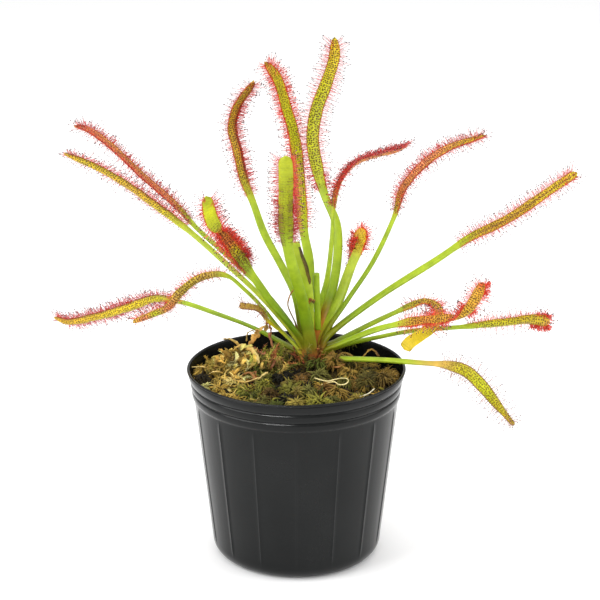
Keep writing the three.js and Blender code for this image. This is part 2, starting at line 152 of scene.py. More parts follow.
def finishPiece(name, bm, materials, nodes=()):
    mesh = toTemplate(bm, name)
    for material in materials:
        mesh.materials.append(material)
    piece = addObject(name, mesh)
    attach(piece, "root")
    if nodes:
        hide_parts(*nodes)
    print("stage:", name, len(mesh.polygons), "faces")
    return piece


def placeCopies(bm, template, matrices):  # adds one copy of a small mesh for each matrix
    for matrix in matrices:
        copy = template.copy()
        copy.transform(matrix)
        bm.from_mesh(copy)
        bpy.data.meshes.remove(copy)


def newMaterial(name, roughness, specular=0.5, **sockets):
    material = bpy.data.materials.new(name)
    material.use_nodes = True
    shader = material.node_tree.nodes["Principled BSDF"]
    shader.inputs["Roughness"].default_value = roughness
    shader.inputs["Specular IOR Level"].default_value = specular
    for socket, value in sockets.items():
        shader.inputs[socket.replace("_", " ")].default_value = value
    return material, material.node_tree, shader


def addNode(tree, kind, **values):
    node = tree.nodes.new(kind)
    for name, value in values.items():
        if name in node.inputs:
            node.inputs[name].default_value = value
        else:
            setattr(node, name, value)
    return node


def stretchNode(tree, source, scale):
    mapping = tree.nodes.new("ShaderNodeMapping")
    mapping.inputs["Scale"].default_value = scale
    tree.links.new(source, mapping.inputs["Vector"])
    return mapping.outputs["Vector"]


def noiseNode(tree, scale, detail, stretch=(1, 1, 1)):
    place = tree.nodes.new("ShaderNodeTexCoord")
    texture = addNode(tree, "ShaderNodeTexNoise", Scale=scale, Detail=detail)
    tree.links.new(stretchNode(tree, place.outputs["Object"], stretch), texture.inputs["Vector"])
    return texture


def tintNode(tree):
    return addNode(tree, "ShaderNodeAttribute", attribute_name="tint").outputs["Color"]


def product(tree, first, second):
    node = addNode(tree, "ShaderNodeMath", operation="MULTIPLY")
    tree.links.new(first, node.inputs[0])
    tree.links.new(second, node.inputs[1])
    return node.outputs[0]


def rampNode(tree, source, stops):
    ramp = tree.nodes.new("ShaderNodeValToRGB")
    while len(ramp.color_ramp.elements) < len(stops):
        ramp.color_ramp.elements.new(0.5)
    for element, (place, colour) in zip(ramp.color_ramp.elements, stops):
        element.position = place
        element.color = (*colour, 1.0)
    tree.links.new(source, ramp.inputs["Fac"])
    return ramp


def mixColours(tree, kind, factor, a, b):
    node = addNode(tree, "ShaderNodeMix", data_type="RGBA", blend_type=kind)
    for value, socket in ((factor, node.inputs[0]), (a, node.inputs[6]), (b, node.inputs[7])):
        if isinstance(value, bpy.types.NodeSocket):
            tree.links.new(value, socket)
        elif isinstance(value, tuple):
            socket.default_value = (*value, 1.0)
        else:
            socket.default_value = value
    return node.outputs[2]


def bumpNode(tree, shader, source, strength, distance, previous=None):
    bump = addNode(tree, "ShaderNodeBump", Strength=strength, Distance=distance)
    tree.links.new(source, bump.inputs["Height"])
    if previous:
        tree.links.new(previous.outputs["Normal"], bump.inputs["Normal"])
    tree.links.new(bump.outputs["Normal"], shader.inputs["Normal"])
    return bump


def varyRoughness(tree, shader, source, low, high):
    spread = addNode(tree, "ShaderNodeMapRange")
    spread.inputs["To Min"].default_value = low
    spread.inputs["To Max"].default_value = high
    tree.links.new(source, spread.inputs["Value"])
    tree.links.new(spread.outputs["Result"], shader.inputs["Roughness"])


def mottle(tree, base, texture, low, high):  # a colour shaded between two tones by a noise
    shade = rampNode(tree, texture.outputs["Fac"], [low, high])
    return mixColours(tree, "MULTIPLY", 1.0, base, shade.outputs["Color"])


def makeLeafSkin():  # petioles and blades: the tint runs along each leaf, with stipple, painted shade in the furrows across the blade, bumped bands and veins
    material, tree, shader = newMaterial("leafSkin", 0.45, 0.22, Subsurface_Weight=0.2)
    shader.inputs["Subsurface Radius"].default_value = (0.9, 1.0, 0.25)
    shader.inputs["Subsurface Scale"].default_value = 0.8 * mm
    stippleBumpAndFurrowShade = addNode(tree, "ShaderNodeAttribute", attribute_name="stippleBumpAndFurrowShade")
    parts = tree.nodes.new("ShaderNodeSeparateColor")
    tree.links.new(stippleBumpAndFurrowShade.outputs["Color"], parts.inputs["Color"])
    clouds = noiseNode(tree, 260, 3)
    base = mottle(tree, tintNode(tree), clouds, (0.3, (0.80, 0.82, 0.76)), (0.7, (1.14, 1.12, 1.0)))
    strap = addNode(tree, "ShaderNodeUVMap", uv_map="strap").outputs["UV"]
    dots = addNode(tree, "ShaderNodeTexVoronoi", voronoi_dimensions="2D", Scale=1.0, Randomness=0.6)
    tree.links.new(stretchNode(tree, strap, (1.08, 15, 1)), dots.inputs["Vector"])
    spots = rampNode(tree, dots.outputs["Distance"], [(0.26, (1, 1, 1)), (0.39, (0, 0, 0))])
    stipple = product(tree, spots.outputs["Color"], parts.outputs["Red"])
    base = mixColours(tree, "MIX", stipple, base, linear((58, 22, 8)))
    bands = addNode(tree, "ShaderNodeTexWave", Scale=0.26, Distortion=2.2, Detail=2.0, bands_direction="X")
    tree.links.new(strap, bands.inputs["Vector"])
    # painted shade: the furrows between the bands across the blade are darkened in colour, by the blue of the
    # leaf's attribute
    furrowShadeRamp = rampNode(tree, bands.outputs["Fac"], [(0.05, (1, 1, 1)), (0.45, (0, 0, 0))])
    dark = product(tree, furrowShadeRamp.outputs["Color"], parts.outputs["Blue"])
    shaded = mixColours(tree, "MULTIPLY", 1.0, base, (0.62, 0.50, 0.34))
    tree.links.new(mixColours(tree, "MIX", dark, base, shaded), shader.inputs["Base Color"])
    veins = addNode(tree, "ShaderNodeTexNoise", Scale=1.0, Detail=2.0)
    tree.links.new(stretchNode(tree, strap, (0.6, 26, 1)), veins.inputs["Vector"])
    first = bumpNode(tree, shader, veins.outputs["Fac"], 0.35, 0.12 * mm)
    depth = product(tree, bands.outputs["Fac"], parts.outputs["Green"])
    bumpNode(tree, shader, depth, 0.5, 0.3 * mm, first)
    varyRoughness(tree, shader, clouds.outputs["Fac"], 0.32, 0.55)
    return material


def makeTentacleSkin(name, roughness, specular, grain, low, high, **sockets):
    material, tree, shader = newMaterial(name, roughness, specular, **sockets)
    base = mottle(tree, tintNode(tree), noiseNode(tree, grain, 2), low, high)
    tree.links.new(base, shader.inputs["Base Color"])
    return material


def makeDew():  # the clear sticky drop round each gland, with the faint pink of what it holds
    material, tree, shader = newMaterial("stickyDew", 0.0, 0.4, Transmission_Weight=1.0, IOR=1.2)
    drift = noiseNode(tree, 500, 1)
    shade = rampNode(tree, drift.outputs["Fac"], [(0.3, (1.0, 0.82, 0.84)), (0.7, (1.0, 0.92, 0.92))])
    tree.links.new(shade.outputs["Color"], shader.inputs["Base Color"])
    return material


def makeTintedSkin(name, roughness, depth):  # moss, dead leaves and fibre: each strand's tint, with grain
    material, tree, shader = newMaterial(name, roughness, 0.25, Subsurface_Weight=0.1)
    shader.inputs["Subsurface Radius"].default_value = (0.8, 0.7, 0.3)
    shader.inputs["Subsurface Scale"].default_value = 0.4 * mm
    broad = noiseNode(tree, 170, 3)
    base = mottle(tree, tintNode(tree), broad, (0.3, (0.66, 0.66, 0.60)), (0.7, (1.2, 1.18, 1.1)))
    fine = noiseNode(tree, 1300, 2)
    base = mottle(tree, base, fine, (0.3, (0.72, 0.7, 0.66)), (0.7, (1.15, 1.13, 1.05)))
    tree.links.new(base, shader.inputs["Base Color"])
    bumpNode(tree, shader, fine.outputs["Fac"], 0.4, depth * mm)
    return material


leafSkin = makeLeafSkin()
stalkSkin = makeTentacleSkin("tentacleStalk", 0.4, 0.35, 900, (0.35, (0.82, 0.74, 0.74)),
                             (0.65, (1.1, 1.08, 1.05)))
glandSkin = makeTentacleSkin("tentacleGland", 0.25, 0.3, 1400, (0.3, (0.6, 0.5, 0.5)),
                             (0.7, (1.2, 1.15, 1.1)), Coat_Weight=0.15, Coat_Roughness=0.08)
dewSkin = makeDew()
print("stage: leaf materials made")

view = {
    "elevation": 18.65,  # degrees above level, looking along +Y
    "aim": Vector((0, 0, 81)) * mm,  # the middle of the pot's lip
    "distance": 1.0,
    "lens": 145.98,
    "sensor": 36.0,
    "aimAt": (296.5, 366.5),  # where that point stands in a picture of 600 by 600
    "size": 600,
}


def makeCamera():
    data = bpy.data.cameras.new("camera")
    data.lens = view["lens"]
    data.sensor_width = view["sensor"]
    data.clip_end = 50
    camera = addObject("camera", data)
    bpy.context.scene.camera = camera
    tilt = math.radians(view["elevation"])
    forward = Vector((0, math.cos(tilt), -math.sin(tilt)))
    upward = Vector((0, math.sin(tilt), math.cos(tilt)))
    perPixel = view["sensor"] / view["lens"] / view["size"] * view["distance"]
    aside = (view["aimAt"][0] - view["size"] / 2) * perPixel
    above = (view["size"] / 2 - view["aimAt"][1]) * perPixel
    camera.location = view["aim"] - forward * view["distance"] - Vector((aside, 0, 0)) - upward * above
    camera.rotation_euler = (math.pi / 2 - tilt, 0, 0)


worldStrength = 0.8
lights = {
    "left": {"place": (-0.75, -0.35, 0.55), "size": (0.7, 0.7), "power": 6.9},
    "right": {"place": (0.8, -0.15, 0.5), "size": (0.7, 0.7), "power": 3.0},
    "top": {"place": (0.05, 0.25, 1.1), "size": (0.9, 0.9), "power": 5.2},
    "front": {"place": (0.1, -1.1, 0.7), "size": (0.8, 0.5), "power": 4.4},
    "spark": {"place": (-0.42, -1.0, 0.62), "size": (0.6, 0.045), "power": 9.0},
}


def makeLights():
    world = bpy.data.worlds.new("studio")
    world.use_nodes = True
    world.node_tree.nodes["Background"].inputs["Color"].default_value = (1, 1, 1, 1)
    world.node_tree.nodes["Background"].inputs["Strength"].default_value = worldStrength
    bpy.context.scene.world = world
    for name, light in lights.items():
        data = bpy.data.lights.new(name, "AREA")
        data.energy = light["power"]
        data.shape = "RECTANGLE"
        data.size, data.size_y = light["size"]
        lamp = addObject(name, data)
        lamp.location = light["place"]
        lamp.visible_diffuse = name != "spark"  # the spark is for gloss only, the front for all but gloss
        lamp.visible_glossy = name != "front"
        aim = Vector((0, 0, 0.1)) - lamp.location
        lamp.rotation_euler = aim.to_track_quat("-Z", "Y").to_euler()


def makeFloor():
    bm = bmesh.new()
    bmesh.ops.create_grid(bm, x_segments=2, y_segments=2, size=6)
    mesh = bpy.data.meshes.new("floor")
    bm.to_mesh(mesh)
    bm.free()
    floor = addObject("floor", mesh)
    floor.location.z = -0.02 * mm
    material, tree, shader = newMaterial("paleFloor", 0.9, 0.1)
    shader.inputs["Base Color"].default_value = (0.96, 0.96, 0.96, 1)
    mesh.materials.append(material)


makeCamera()
makeLights()
makeFloor()
bpy.context.scene.view_settings.view_transform = "Standard"
print("stage: camera, lights and floor set")

pot = {
    "height": 81.0, "lip": 45.0, "mouth": 41.9, "foot": 35.0, "flat": 28.0, "footRise": 7, "wall": 1.1,
    "base": 1.4, "ribs": 15, "ribRise": 0.26, "ribHalf": 0.65, "ribBottom": 7.0, "ribTop": 66.5,
    "ribColumns": [0, 0.25, 0.5, 0.8, 2.6, 5, 8, 12, 16, 19, 21.4, 23.2, 23.5, 23.75],  # degrees from a rib
    "grooves": [(42.2, 68.5), (42.6, 72.2), (43.15, 76.0), (44.2, 80.1)], "bandRise": 0.6, "bandPower": 3.2,
    "bandShares": (0.01, 0.07, 0.16, 0.3, 0.5, 0.7, 0.84, 0.93, 0.99), "lipRadius": 0.6,
    "lipInset": 0.65,
    "bodyHeights": (8, 10, 14, 20, 28, 36, 44, 52, 58, 62, 64.5, 66, 67, 68),
    "innerHeights": (79.4, 78, 76, 72, 68, 64, 50, 36, 22, 12, 7), "innerFoot": [(32.6, 4.1), (30.8, 2.4)],
    "seamAngle": -151.0, "seamRise": 0.16, "seamHalf": 0.9, "wallSway": 0.25, "lipSway": 0.22,
    "drainHoles": 6, "drainRadius": 2.6, "drainCircle": 19.0, "ribFade": (65.5, 66.8), "seamFrom": 8,
    "wallSwayFrom": 30, "lipSwayFrom": (76, 80), "outside": 0.25,
}


def potOuter(z):  # outer radius at a height, in mm: a plain body, then rounded bands between fine grooves
    grooves = pot["grooves"]
    if z <= grooves[0][1]:
        return mix(pot["foot"], grooves[0][0], (z - pot["footRise"]) / (grooves[0][1] - pot["footRise"]))
    for (low, bottom), (high, top) in zip(grooves, grooves[1:]):
        if z <= top:
            share = (z - bottom) / (top - bottom)
            return mix(low, high, share) + pot["bandRise"] * (1 - abs(2 * share - 1) ** pot["bandPower"])
    return grooves[-1][0]


def potInner(z):
    return mix(pot["foot"] - pot["wall"], pot["mouth"], (z - 7) / 70) + pot["wall"] * ease(z, 62, 77)


def potProfile():
    flat, base, rise, curl = pot["flat"], pot["base"], pot["footRise"], pot["lipRadius"]
    points = [(0, 0), (10, 0), (20, 0), (flat, 0)]
    for i in range(1, 9):  # the rounded foot
        turn = math.pi / 2 * i / 8
        points.append((flat + rise * math.sin(turn), rise - rise * math.cos(turn)))
    points += [(potOuter(z), z) for z in pot["bodyHeights"]]
    levels = [z for radius, z in pot["grooves"]]
    for bottom, top in zip(levels, levels[1:]):
        heights = [mix(bottom, top, share) for share in pot["bandShares"]]
        points += [(potOuter(z), z) for z in heights]
    for i in range(7):  # the thin rolled lip
        turn = math.pi * i / 6
        points.append((pot["lip"] - pot["lipInset"] + curl * math.cos(turn),
                       pot["height"] - curl + curl * math.sin(turn)))
    points += [(potInner(z) + 0.3 * ease(z, 77, 80), z) for z in pot["innerHeights"]]
    return points + pot["innerFoot"] + [(flat, base), (20, base), (10, base), (0, base)]


def makePotPlastic():
    material, tree, shader = newMaterial("blackPolyethylene", 0.2, 0.2)
    clouds = noiseNode(tree, 38, 5)
    shade = rampNode(tree, clouds.outputs["Fac"],
                     [(0.3, (0.0025, 0.003, 0.003)), (0.75, (0.007, 0.0078, 0.0077))])
    dust = noiseNode(tree, 2100, 4)
    flecks = rampNode(tree, dust.outputs["Fac"], [(0.68, (0, 0, 0)), (0.8, (0.3, 0.3, 0.3))])
    base = mixColours(tree, "MIX", flecks.outputs["Color"], shade.outputs["Color"], (0.09, 0.09, 0.085))
    tree.links.new(base, shader.inputs["Base Color"])
    flow = noiseNode(tree, 130, 3, (1, 1, 0.12))
    varyRoughness(tree, shader, flow.outputs["Fac"], 0.13, 0.3)
    first = bumpNode(tree, shader, flow.outputs["Fac"], 0.25, 0.35 * mm)
    grain = noiseNode(tree, 1500, 2)
    bumpNode(tree, shader, grain.outputs["Fac"], 0.12, 0.08 * mm, first)
    return material


def makePot():
    bm = bmesh.new()
    offsets = pot["ribColumns"]
    steps = pot["ribs"] * len(offsets)
    share = 360 / pot["ribs"]
    spinProfile(bm, potProfile(), steps)
    for vert in bm.verts:
        radius = math.hypot(vert.co.x, vert.co.y) / mm
        z = vert.co.z / mm
        if radius < 1e-3:
            continue
        column = round((math.atan2(vert.co.y, vert.co.x) % math.tau) / math.tau * steps) % steps
        offset = offsets[column % len(offsets)]
        angle = math.radians(column // len(offsets) * share + offset - 90)
        outside = radius > potInner(z) + pot["outside"]
        away = min(offset, share - offset)
        if outside and pot["ribBottom"] - 1 < z < pot["ribTop"] + 0.5:
            fade = ease(z, pot["ribBottom"] - 1, pot["ribBottom"] + 2) * (1 - ease(z, *pot["ribFade"]))
            radius += pot["ribRise"] * fade * max(0.0, 1 - (away / pot["ribHalf"]) ** 2)
        seamAway = abs((math.degrees(angle) - pot["seamAngle"] + 180) % 360 - 180)
        if outside and z > pot["seamFrom"]:
            radius += pot["seamRise"] * max(0.0, 1 - (seamAway / pot["seamHalf"]) ** 2)
        drift = noise.noise(Vector((math.cos(angle) * 1.4, math.sin(angle) * 1.4, z * 0.03)))
        radius += pot["wallSway"] * drift * ease(z, pot["wallSwayFrom"], pot["height"])
        drift = noise.noise(Vector((math.cos(angle) * 2, math.sin(angle) * 2, 7)))
        z += pot["lipSway"] * drift * ease(z, *pot["lipSwayFrom"])
        vert.co = Vector((radius * math.cos(angle), radius * math.sin(angle), z)) * mm
    piece = finishPiece("potShell", bm, [makePotPlastic()], ["pot"])
    cutter = bmesh.new()
    drain = pot["drainRadius"] * mm
    for i in range(pot["drainHoles"]):
        centre = pointing(math.tau * i / pot["drainHoles"]) * pot["drainCircle"] * mm
        bmesh.ops.create_cone(cutter, cap_ends=True, segments=32, radius1=drain, radius2=drain, depth=8 * mm,
                              matrix=Matrix.Translation(centre))
    cutMesh = bpy.data.meshes.new("drainCut")
    cutter.to_mesh(cutMesh)
    cutter.free()
    cut = addObject("drainCut", cutMesh)
    change = piece.modifiers.new("drainHoles", "BOOLEAN")
    change.object = cut
    change.operation = "DIFFERENCE"
    change.solver = "EXACT"
    graph = bpy.context.evaluated_depsgraph_get()
    done = bpy.data.meshes.new_from_object(piece.evaluated_get(graph))
    piece.modifiers.clear()
    old = piece.data
    piece.data = done
    bpy.data.meshes.remove(old)
    bpy.data.objects.remove(cut)
    bpy.data.meshes.remove(cutMesh)


makePot()

medium = {
    "level": 77.0, "clear": 0.7, "crown": (6.5, 10.0), "rings": 42, "columns": 150,
    "bottom": [(0, 1.8), (27, 1.8)], "heights": (7, 60, 73), "sunk": 0.9, "rough": 1.3,
    "forms": [(6.5, 10.0, 2, 11), (0, -30, 1.2, 16), (-24, 27, -10, 9), (33, 26, -10, 9)],
}
crown = Vector((*medium["crown"], 0))


def bumpsAt(x, y, forms, start=0.0):  # rounded rises and hollows, each with its place, height and width
    return sum((height * math.exp(-((x - a) ** 2 + (y - b) ** 2) / (2 * width * width))
                for a, b, height, width in forms), start)


def mediumHeight(x, y):  # the surface of the moss, all in mm
    lumps = 1.1 * math.sin(0.42 * x + 0.7) * math.cos(0.38 * y - 0.4) + 0.7 * math.sin(0.9 * x - 0.5 * y)
    return bumpsAt(x, y, medium["forms"], medium["level"] + lumps)


def makeSoil():
    material, tree, shader = newMaterial("darkMedium", 0.95, 0.2)
    crumbs = noiseNode(tree, 420, 6)
    shade = rampNode(tree, crumbs.outputs["Fac"], [(0.35, linear((22, 17, 9))), (0.55, linear((62, 50, 24))),
                                                  (0.75, linear((104, 92, 42)))])
    tree.links.new(shade.outputs["Color"], shader.inputs["Base Color"])
    bumpNode(tree, shader, crumbs.outputs["Fac"], 0.9, 1.2 * mm)
    return material


def makeMedium():
    level, clear, rings = medium["level"], medium["clear"], medium["rings"]
    edge = potInner(level) - clear
    profile = medium["bottom"] + [(potInner(z) - clear, z) for z in medium["heights"]]
    profile += [(edge * (1 - i / rings), level) for i in range(rings + 1)]
    bm = bmesh.new()
    spinProfile(bm, profile, medium["columns"])
    for vert in bm.verts:
        x, y, z = vert.co / mm
        if z < level - 0.1:
            continue
        rough = noise.fractal(Vector((x * 0.35, y * 0.35, 3)), 0.8, 2.1, 4)
        height = mediumHeight(x, y) - medium["sunk"] + medium["rough"] * rough
        limit = potInner(height) - clear
        radius = math.hypot(x, y)
        if radius > limit:
            x, y = x * limit / radius, y * limit / radius
        vert.co = Vector((x, y, height)) * mm
    finishPiece("mediumBody", bm, [makeSoil()], ["growing_medium"])


makeMedium()


def bentCone(sides, cuts, wide, tip, flat, droop, fat=0.5):  # a tapering shoot of unit length, bent to +X
    bm = bmesh.new()
    bmesh.ops.create_cone(bm, cap_ends=False, segments=sides, radius1=wide, radius2=wide * tip, depth=1,
                          matrix=Matrix.Translation((0, 0, 0.5)))
    long = [edge for edge in bm.edges if abs(edge.verts[0].co.z - edge.verts[1].co.z) > 0.5]
    bmesh.ops.subdivide_edges(bm, edges=long, cuts=cuts, use_grid_fill=True)
    for vert in bm.verts:
        share = vert.co.z
        swell = 1 + fat * math.sin(min(share * 1.6, 1) * math.pi)
        angle = droop * share
        radius = 1 / droop
        off = vert.co.x * flat * swell
        vert.co = Vector((radius * (1 - math.cos(angle)) + off * math.cos(angle), vert.co.y * swell,
                          radius * math.sin(angle) - off * math.sin(angle)))
    return toTemplate(bm, "shoot")


def placeShaded(bm, tint, template, places, tones):  # copies, each shaded from its root to its tip
    start = len(bm.verts)
    placeCopies(bm, template, places)
    bm.verts.ensure_lookup_table()
    reach = max(vert.co.length for vert in template.vertices)
    shares = [vert.co.length / reach for vert in template.vertices]
    for i in range(start, len(bm.verts)):
        root, tip = tones[(i - start) // len(shares)]
        bm.verts[i][tint] = (*blend(root, tip, shares[(i - start) % len(shares)]), 1)


def addStrip(bm, tint, points, width, thick, side, shades, curl=0.0, sides=8, steps=28, taper=0.35,
             square=False, crumple=0.12):  # a strip with a round edge, crumpled along its length
    spine = Spine([Vector(point) for point in points], Vector(side))
    key = points[0][0]
    start = len(bm.verts)
    made = bmesh.ops.create_grid(bm, x_segments=steps, y_segments=sides, size=0.5)["verts"]
    for vert in made:
        u, turn = vert.co.x + 0.5, (vert.co.y + 0.5) * math.tau
        centre, way, across, up = spine.at(u, curl * (u - 0.5))
        half = width / 2 * (1 - taper * u) * (1 if square or 0.03 < u < 0.985 else 0.3)
        rough = noise.noise(Vector((u * 9, math.cos(turn), key))) * crumple * width
        sway = noise.noise(Vector((u * 6, 4, key))) * crumple * width
        cup = (0.1 if square else 0.22) * width * math.cos(turn) ** 2
        lift = thick / 2 * math.sin(turn) + cup + rough
        vert.co = (centre + across * (half * math.cos(turn) + sway) + up * lift) * mm
        patch = 0.35 * noise.noise(Vector((u * 14, math.cos(turn) * 2, 8)))
        vert[tint] = (*blend(*shades, ease(u + 0.3 * math.cos(turn) + patch, 0.1, 0.9)), 1)
    bmesh.ops.remove_doubles(bm, verts=made, dist=0.003 * mm)
    bm.verts.ensure_lookup_table()
    rim = [edge for edge in bm.edges if edge.is_boundary and edge.verts[0].index >= start - 1]
    bmesh.ops.holes_fill(bm, edges=rim, sides=0)
    bmesh.ops.recalc_face_normals(bm, faces=bm.faces)


mossSkin = makeTintedSkin("mossSkin", 0.85, 0.12)
drySkin = makeTintedSkin("drySkin", 0.6, 0.1)
print("stage: shapes that repeat made")

goldenTurn = 2.4
moss = {
    "reach": 42.0, "stemClear": 4.2, "seed": 41, "tries": 40, "near": 160,
    "lumpBranches": 86, "headBranches": 14, "sprigLeaflets": 22,
    "lumps": {"count": 84, "gap": 6.2, "size": (4.2, 6.8), "lift": (-2.4, 0.8), "lean": (0, 0.5)},
    "tufts": {"size": (4.2, 6.4), "lift": (-1.2, 0.4), "lean": (0.2, 0.6), "palette": "tuft"},
    "heads": {"count": 45, "gap": 1.6, "size": (2.4, 4.6), "lift": (-0.4, 1.6), "lean": (0, 0.9)},
    "sprigs": {"count": 60, "gap": 1.0, "size": (4.0, 8.0), "lift": (-1.2, 1.0), "lean": (0.5, 1.5)},
    "fringe": {"count": 44, "centre": (-10.0, 4.0), "spread": (3.4, 4.5), "size": (5.5, 9.0), "lift": (0, 2),
               "lean": (0, 0.9), "palette": "fresh"},
    "strands": {"count": 240, "gap": 0.6, "size": (3.5, 8.0), "lift": (0.6, 2.4), "lean": (-0.7, 0.9)},
    "curls": {"count": 90, "centre": (-22.5, 6.5), "spread": (5.4, 7.6), "size": (5.0, 9.0),
              "lift": (0.8, 3.4), "lean": (-1.2, 1.2), "palette": "curl"},
    "tuftPlaces": [(11.5, -24), (16, -26), (13.5, -21), (26, -12), (31, -7), (21, -3), (29, -16), (35, -9),
                   (2, -12)],
    "clumps": [(-22, 13, 4.6, 6), (27, 3, 2.4, 5), (-4, -26, 1.4, 6), (6.5, 6.0, 3.2, 5)],
    "redSpots": [(-19, -11, 0.7, 2.4), (2, 2, 0.25, 3.5), (-6, 8, 0.2, 4)],
    # each moss piece runs from painted shade at its root to a painted highlight at its tips
    "bright": (0.62, 1.3), "paintedRootShade": 0.22, "paintedTipHighlight": 1.5, "rough": 3.0, "darkShare": 0.13,
    "strawShare": (0.05, 0.99), "brownShare": (0.08, 0.78), "strandShare": {"left": 0.95, "else": 0.3},
    "leftEnd": -9,  # the strands are thick at the left of this and few elsewhere
}
palettes = {
    "straw": [(208, 182, 98), (190, 158, 74), (216, 196, 126), (168, 140, 62), (150, 130, 54)],
    "olive": [(92, 96, 32), (118, 116, 42), (70, 78, 22), (138, 124, 54), (96, 74, 34), (108, 106, 48)],
    "brown": [(126, 100, 42), (164, 134, 56), (96, 78, 32), (144, 134, 44), (178, 150, 66), (84, 76, 28)],
    "red": [(132, 80, 44), (150, 96, 52), (104, 66, 38)], "dark": [(34, 28, 12), (24, 22, 12)],
    "fresh": [(150, 150, 62), (122, 128, 42), (176, 150, 78), (166, 104, 62)],
    "tuft": [(152, 116, 52), (118, 88, 40), (172, 142, 66)],
    "curl": [(222, 196, 116), (202, 170, 88), (230, 210, 144), (178, 144, 70)],
}


def mossZone(x, y, draw):  # straw at the left, olive in the middle and front, brown at the right
    patch = noise.noise(Vector((x * 0.11, y * 0.11, 4)))
    straw = ease(-x + 9 * patch - 0.25 * abs(y - 4), 9, 19)
    brown = ease(x + 12 * patch, 6, 26)
    if draw.random() < bumpsAt(x, y, moss["redSpots"]):
        return "red"
    if draw.random() < moss["darkShare"]:
        return "dark"
    if draw.random() < mix(*moss["strawShare"], straw):
        return "straw"
    return "brown" if draw.random() < mix(*moss["brownShare"], brown) else "olive"


def mossLift(x, y):  # the clumps that stand above the rest, and the dark gaps
    return bumpsAt(x, y, moss["clumps"]) + moss["rough"] * noise.noise(Vector((x * 0.17, y * 0.17, 11)))


def lumpTemplate(seed):  # a mop of drooping branches over a rounded lump of unit radius
    draw = random.Random(seed)
    bm = bmesh.new()
    shoots = [bentCone(3, 2, 0.13, 0.2, 0.6, droop) for droop in (0.9, 1.6, 2.3)]
    count = moss["lumpBranches"]
    for i in range(count):
        polar = 1.35 * ((i + 0.5) / count) ** 0.6 + draw.uniform(-0.12, 0.12)
        matrix = (turned(i * goldenTurn + draw.uniform(-0.3, 0.3), "Z") @ turned(polar, "Y")
                  @ Matrix.Translation((0, 0, 0.5)) @ turned(draw.uniform(0.1, 0.8), "Y")
                  @ Matrix.Scale(draw.uniform(0.42, 0.78), 4))
        placeCopies(bm, draw.choice(shoots), [matrix])
    return toTemplate(bm, "lump")


def curlTemplate(seed):  # a wide dry crumpled ribbon
    draw = random.Random(seed)
    bm = bmesh.new()
    bmesh.ops.create_grid(bm, x_segments=4, y_segments=12, size=0.5)
    radius = draw.uniform(0.26, 0.6)
    width = draw.uniform(0.16, 0.36)
    for vert in bm.verts:
        share = vert.co.y + 0.5
        angle = share / radius + 0.5 * math.sin(share * 4 + seed)
        across = vert.co.x * width * (1 - 0.5 * share * share)
        turn = share * 2.4 + seed
        rough = noise.noise(Vector((share * 4, vert.co.x * 2, seed))) * 0.16
        cup = 0.3 * width * (vert.co.x * 2) ** 2
        vert.co = Vector((radius * math.sin(angle) + across * math.cos(turn),
                          radius * (1 - math.cos(angle)) + rough,
                          across * math.sin(turn) + cup + rough + 0.3 * share))
    bmesh.ops.solidify(bm, geom=bm.faces[:], thickness=0.03)
    return toTemplate(bm, "curl")


def headTemplate(seed):  # the rosette at a moss shoot's tip
    draw = random.Random(seed)
    bm = bmesh.new()
    shoots = [bentCone(3, 3, 0.115, 0.12, 0.55, droop) for droop in (0.7, 1.4, 2.1)]
    for i in range(moss["headBranches"]):
        lean = mix(0.15, 1.35, (i / moss["headBranches"]) ** 0.7) + draw.uniform(-0.15, 0.15)
        size = draw.uniform(0.6, 1.1)
        matrix = (turned(i * goldenTurn + draw.uniform(-0.4, 0.4), "Z") @ turned(lean, "Y")
                  @ Matrix.Diagonal((1, 1.25, size, 1)))
        placeCopies(bm, draw.choice(shoots), [matrix])
    return toTemplate(bm, "head")


def sprigTemplate(seed):  # a curved moss shoot of unit length, set with small pointed leaflets
    draw = random.Random(seed)
    bm = bmesh.new()
    stalk = bentCone(3, 3, 0.04, 0.5, 1, 0.01)
    placeCopies(bm, stalk, [Matrix.Identity(4)])
    leaflet = bentCone(3, 1, 0.2, 0.1, 0.4, 1.0)
    count = moss["sprigLeaflets"]
    for i in range(count):
        place = (i + 0.5) / count
        size = draw.uniform(0.2, 0.36) * (1 - 0.35 * place)
        matrix = (Matrix.Translation((0, 0, place)) @ turned(i * goldenTurn + draw.uniform(-0.5, 0.5), "Z")
                  @ turned(draw.uniform(0.4, 1.1), "Y") @ Matrix.Scale(size, 4))
        placeCopies(bm, leaflet, [matrix])
    bend = draw.uniform(-0.8, 0.8)
    for vert in bm.verts:
        share = vert.co.z
        vert.co.x += bend * 0.5 * share * share
        vert.co.y += 0.3 * math.sin(share * 2.6 + seed) * share
    return toTemplate(bm, "sprig")


def strandTemplate(seed):  # a dry curly ribbon of about unit length
    draw = random.Random(seed)
    bm = bmesh.new()
    bmesh.ops.create_grid(bm, x_segments=2, y_segments=14, size=0.5)
    radius = draw.uniform(0.16, 0.45)
    rise = draw.uniform(0.1, 0.5)
    width = draw.uniform(0.07, 0.16)
    for vert in bm.verts:
        share = vert.co.y + 0.5
        angle = share / radius
        across = vert.co.x * width * (1 - 0.6 * share)
        wide = radius * (1 - 0.45 * share)
        tip = math.sin(share * 5 + seed) * 0.8
        vert.co = Vector((wide * math.sin(angle) + across * tip, wide * (1 - math.cos(angle)) - wide * 0.5,
                          across + rise * share))
    bmesh.ops.solidify(bm, geom=bm.faces[:], thickness=0.02)
    return toTemplate(bm, "strand")


def standing(x, y, lift, lean, draw, size):  # stands a moss template on the surface, leaning out
    around = draw.uniform(0, math.tau)
    return (Matrix.Translation(Vector((x, y, mediumHeight(x, y) + mossLift(x, y) + lift)) * mm)
            @ turned(around, "Z") @ turned(lean, "Y") @ turned(draw.uniform(0, math.tau), "Z")
            @ Matrix.Scale(size * mm, 4))


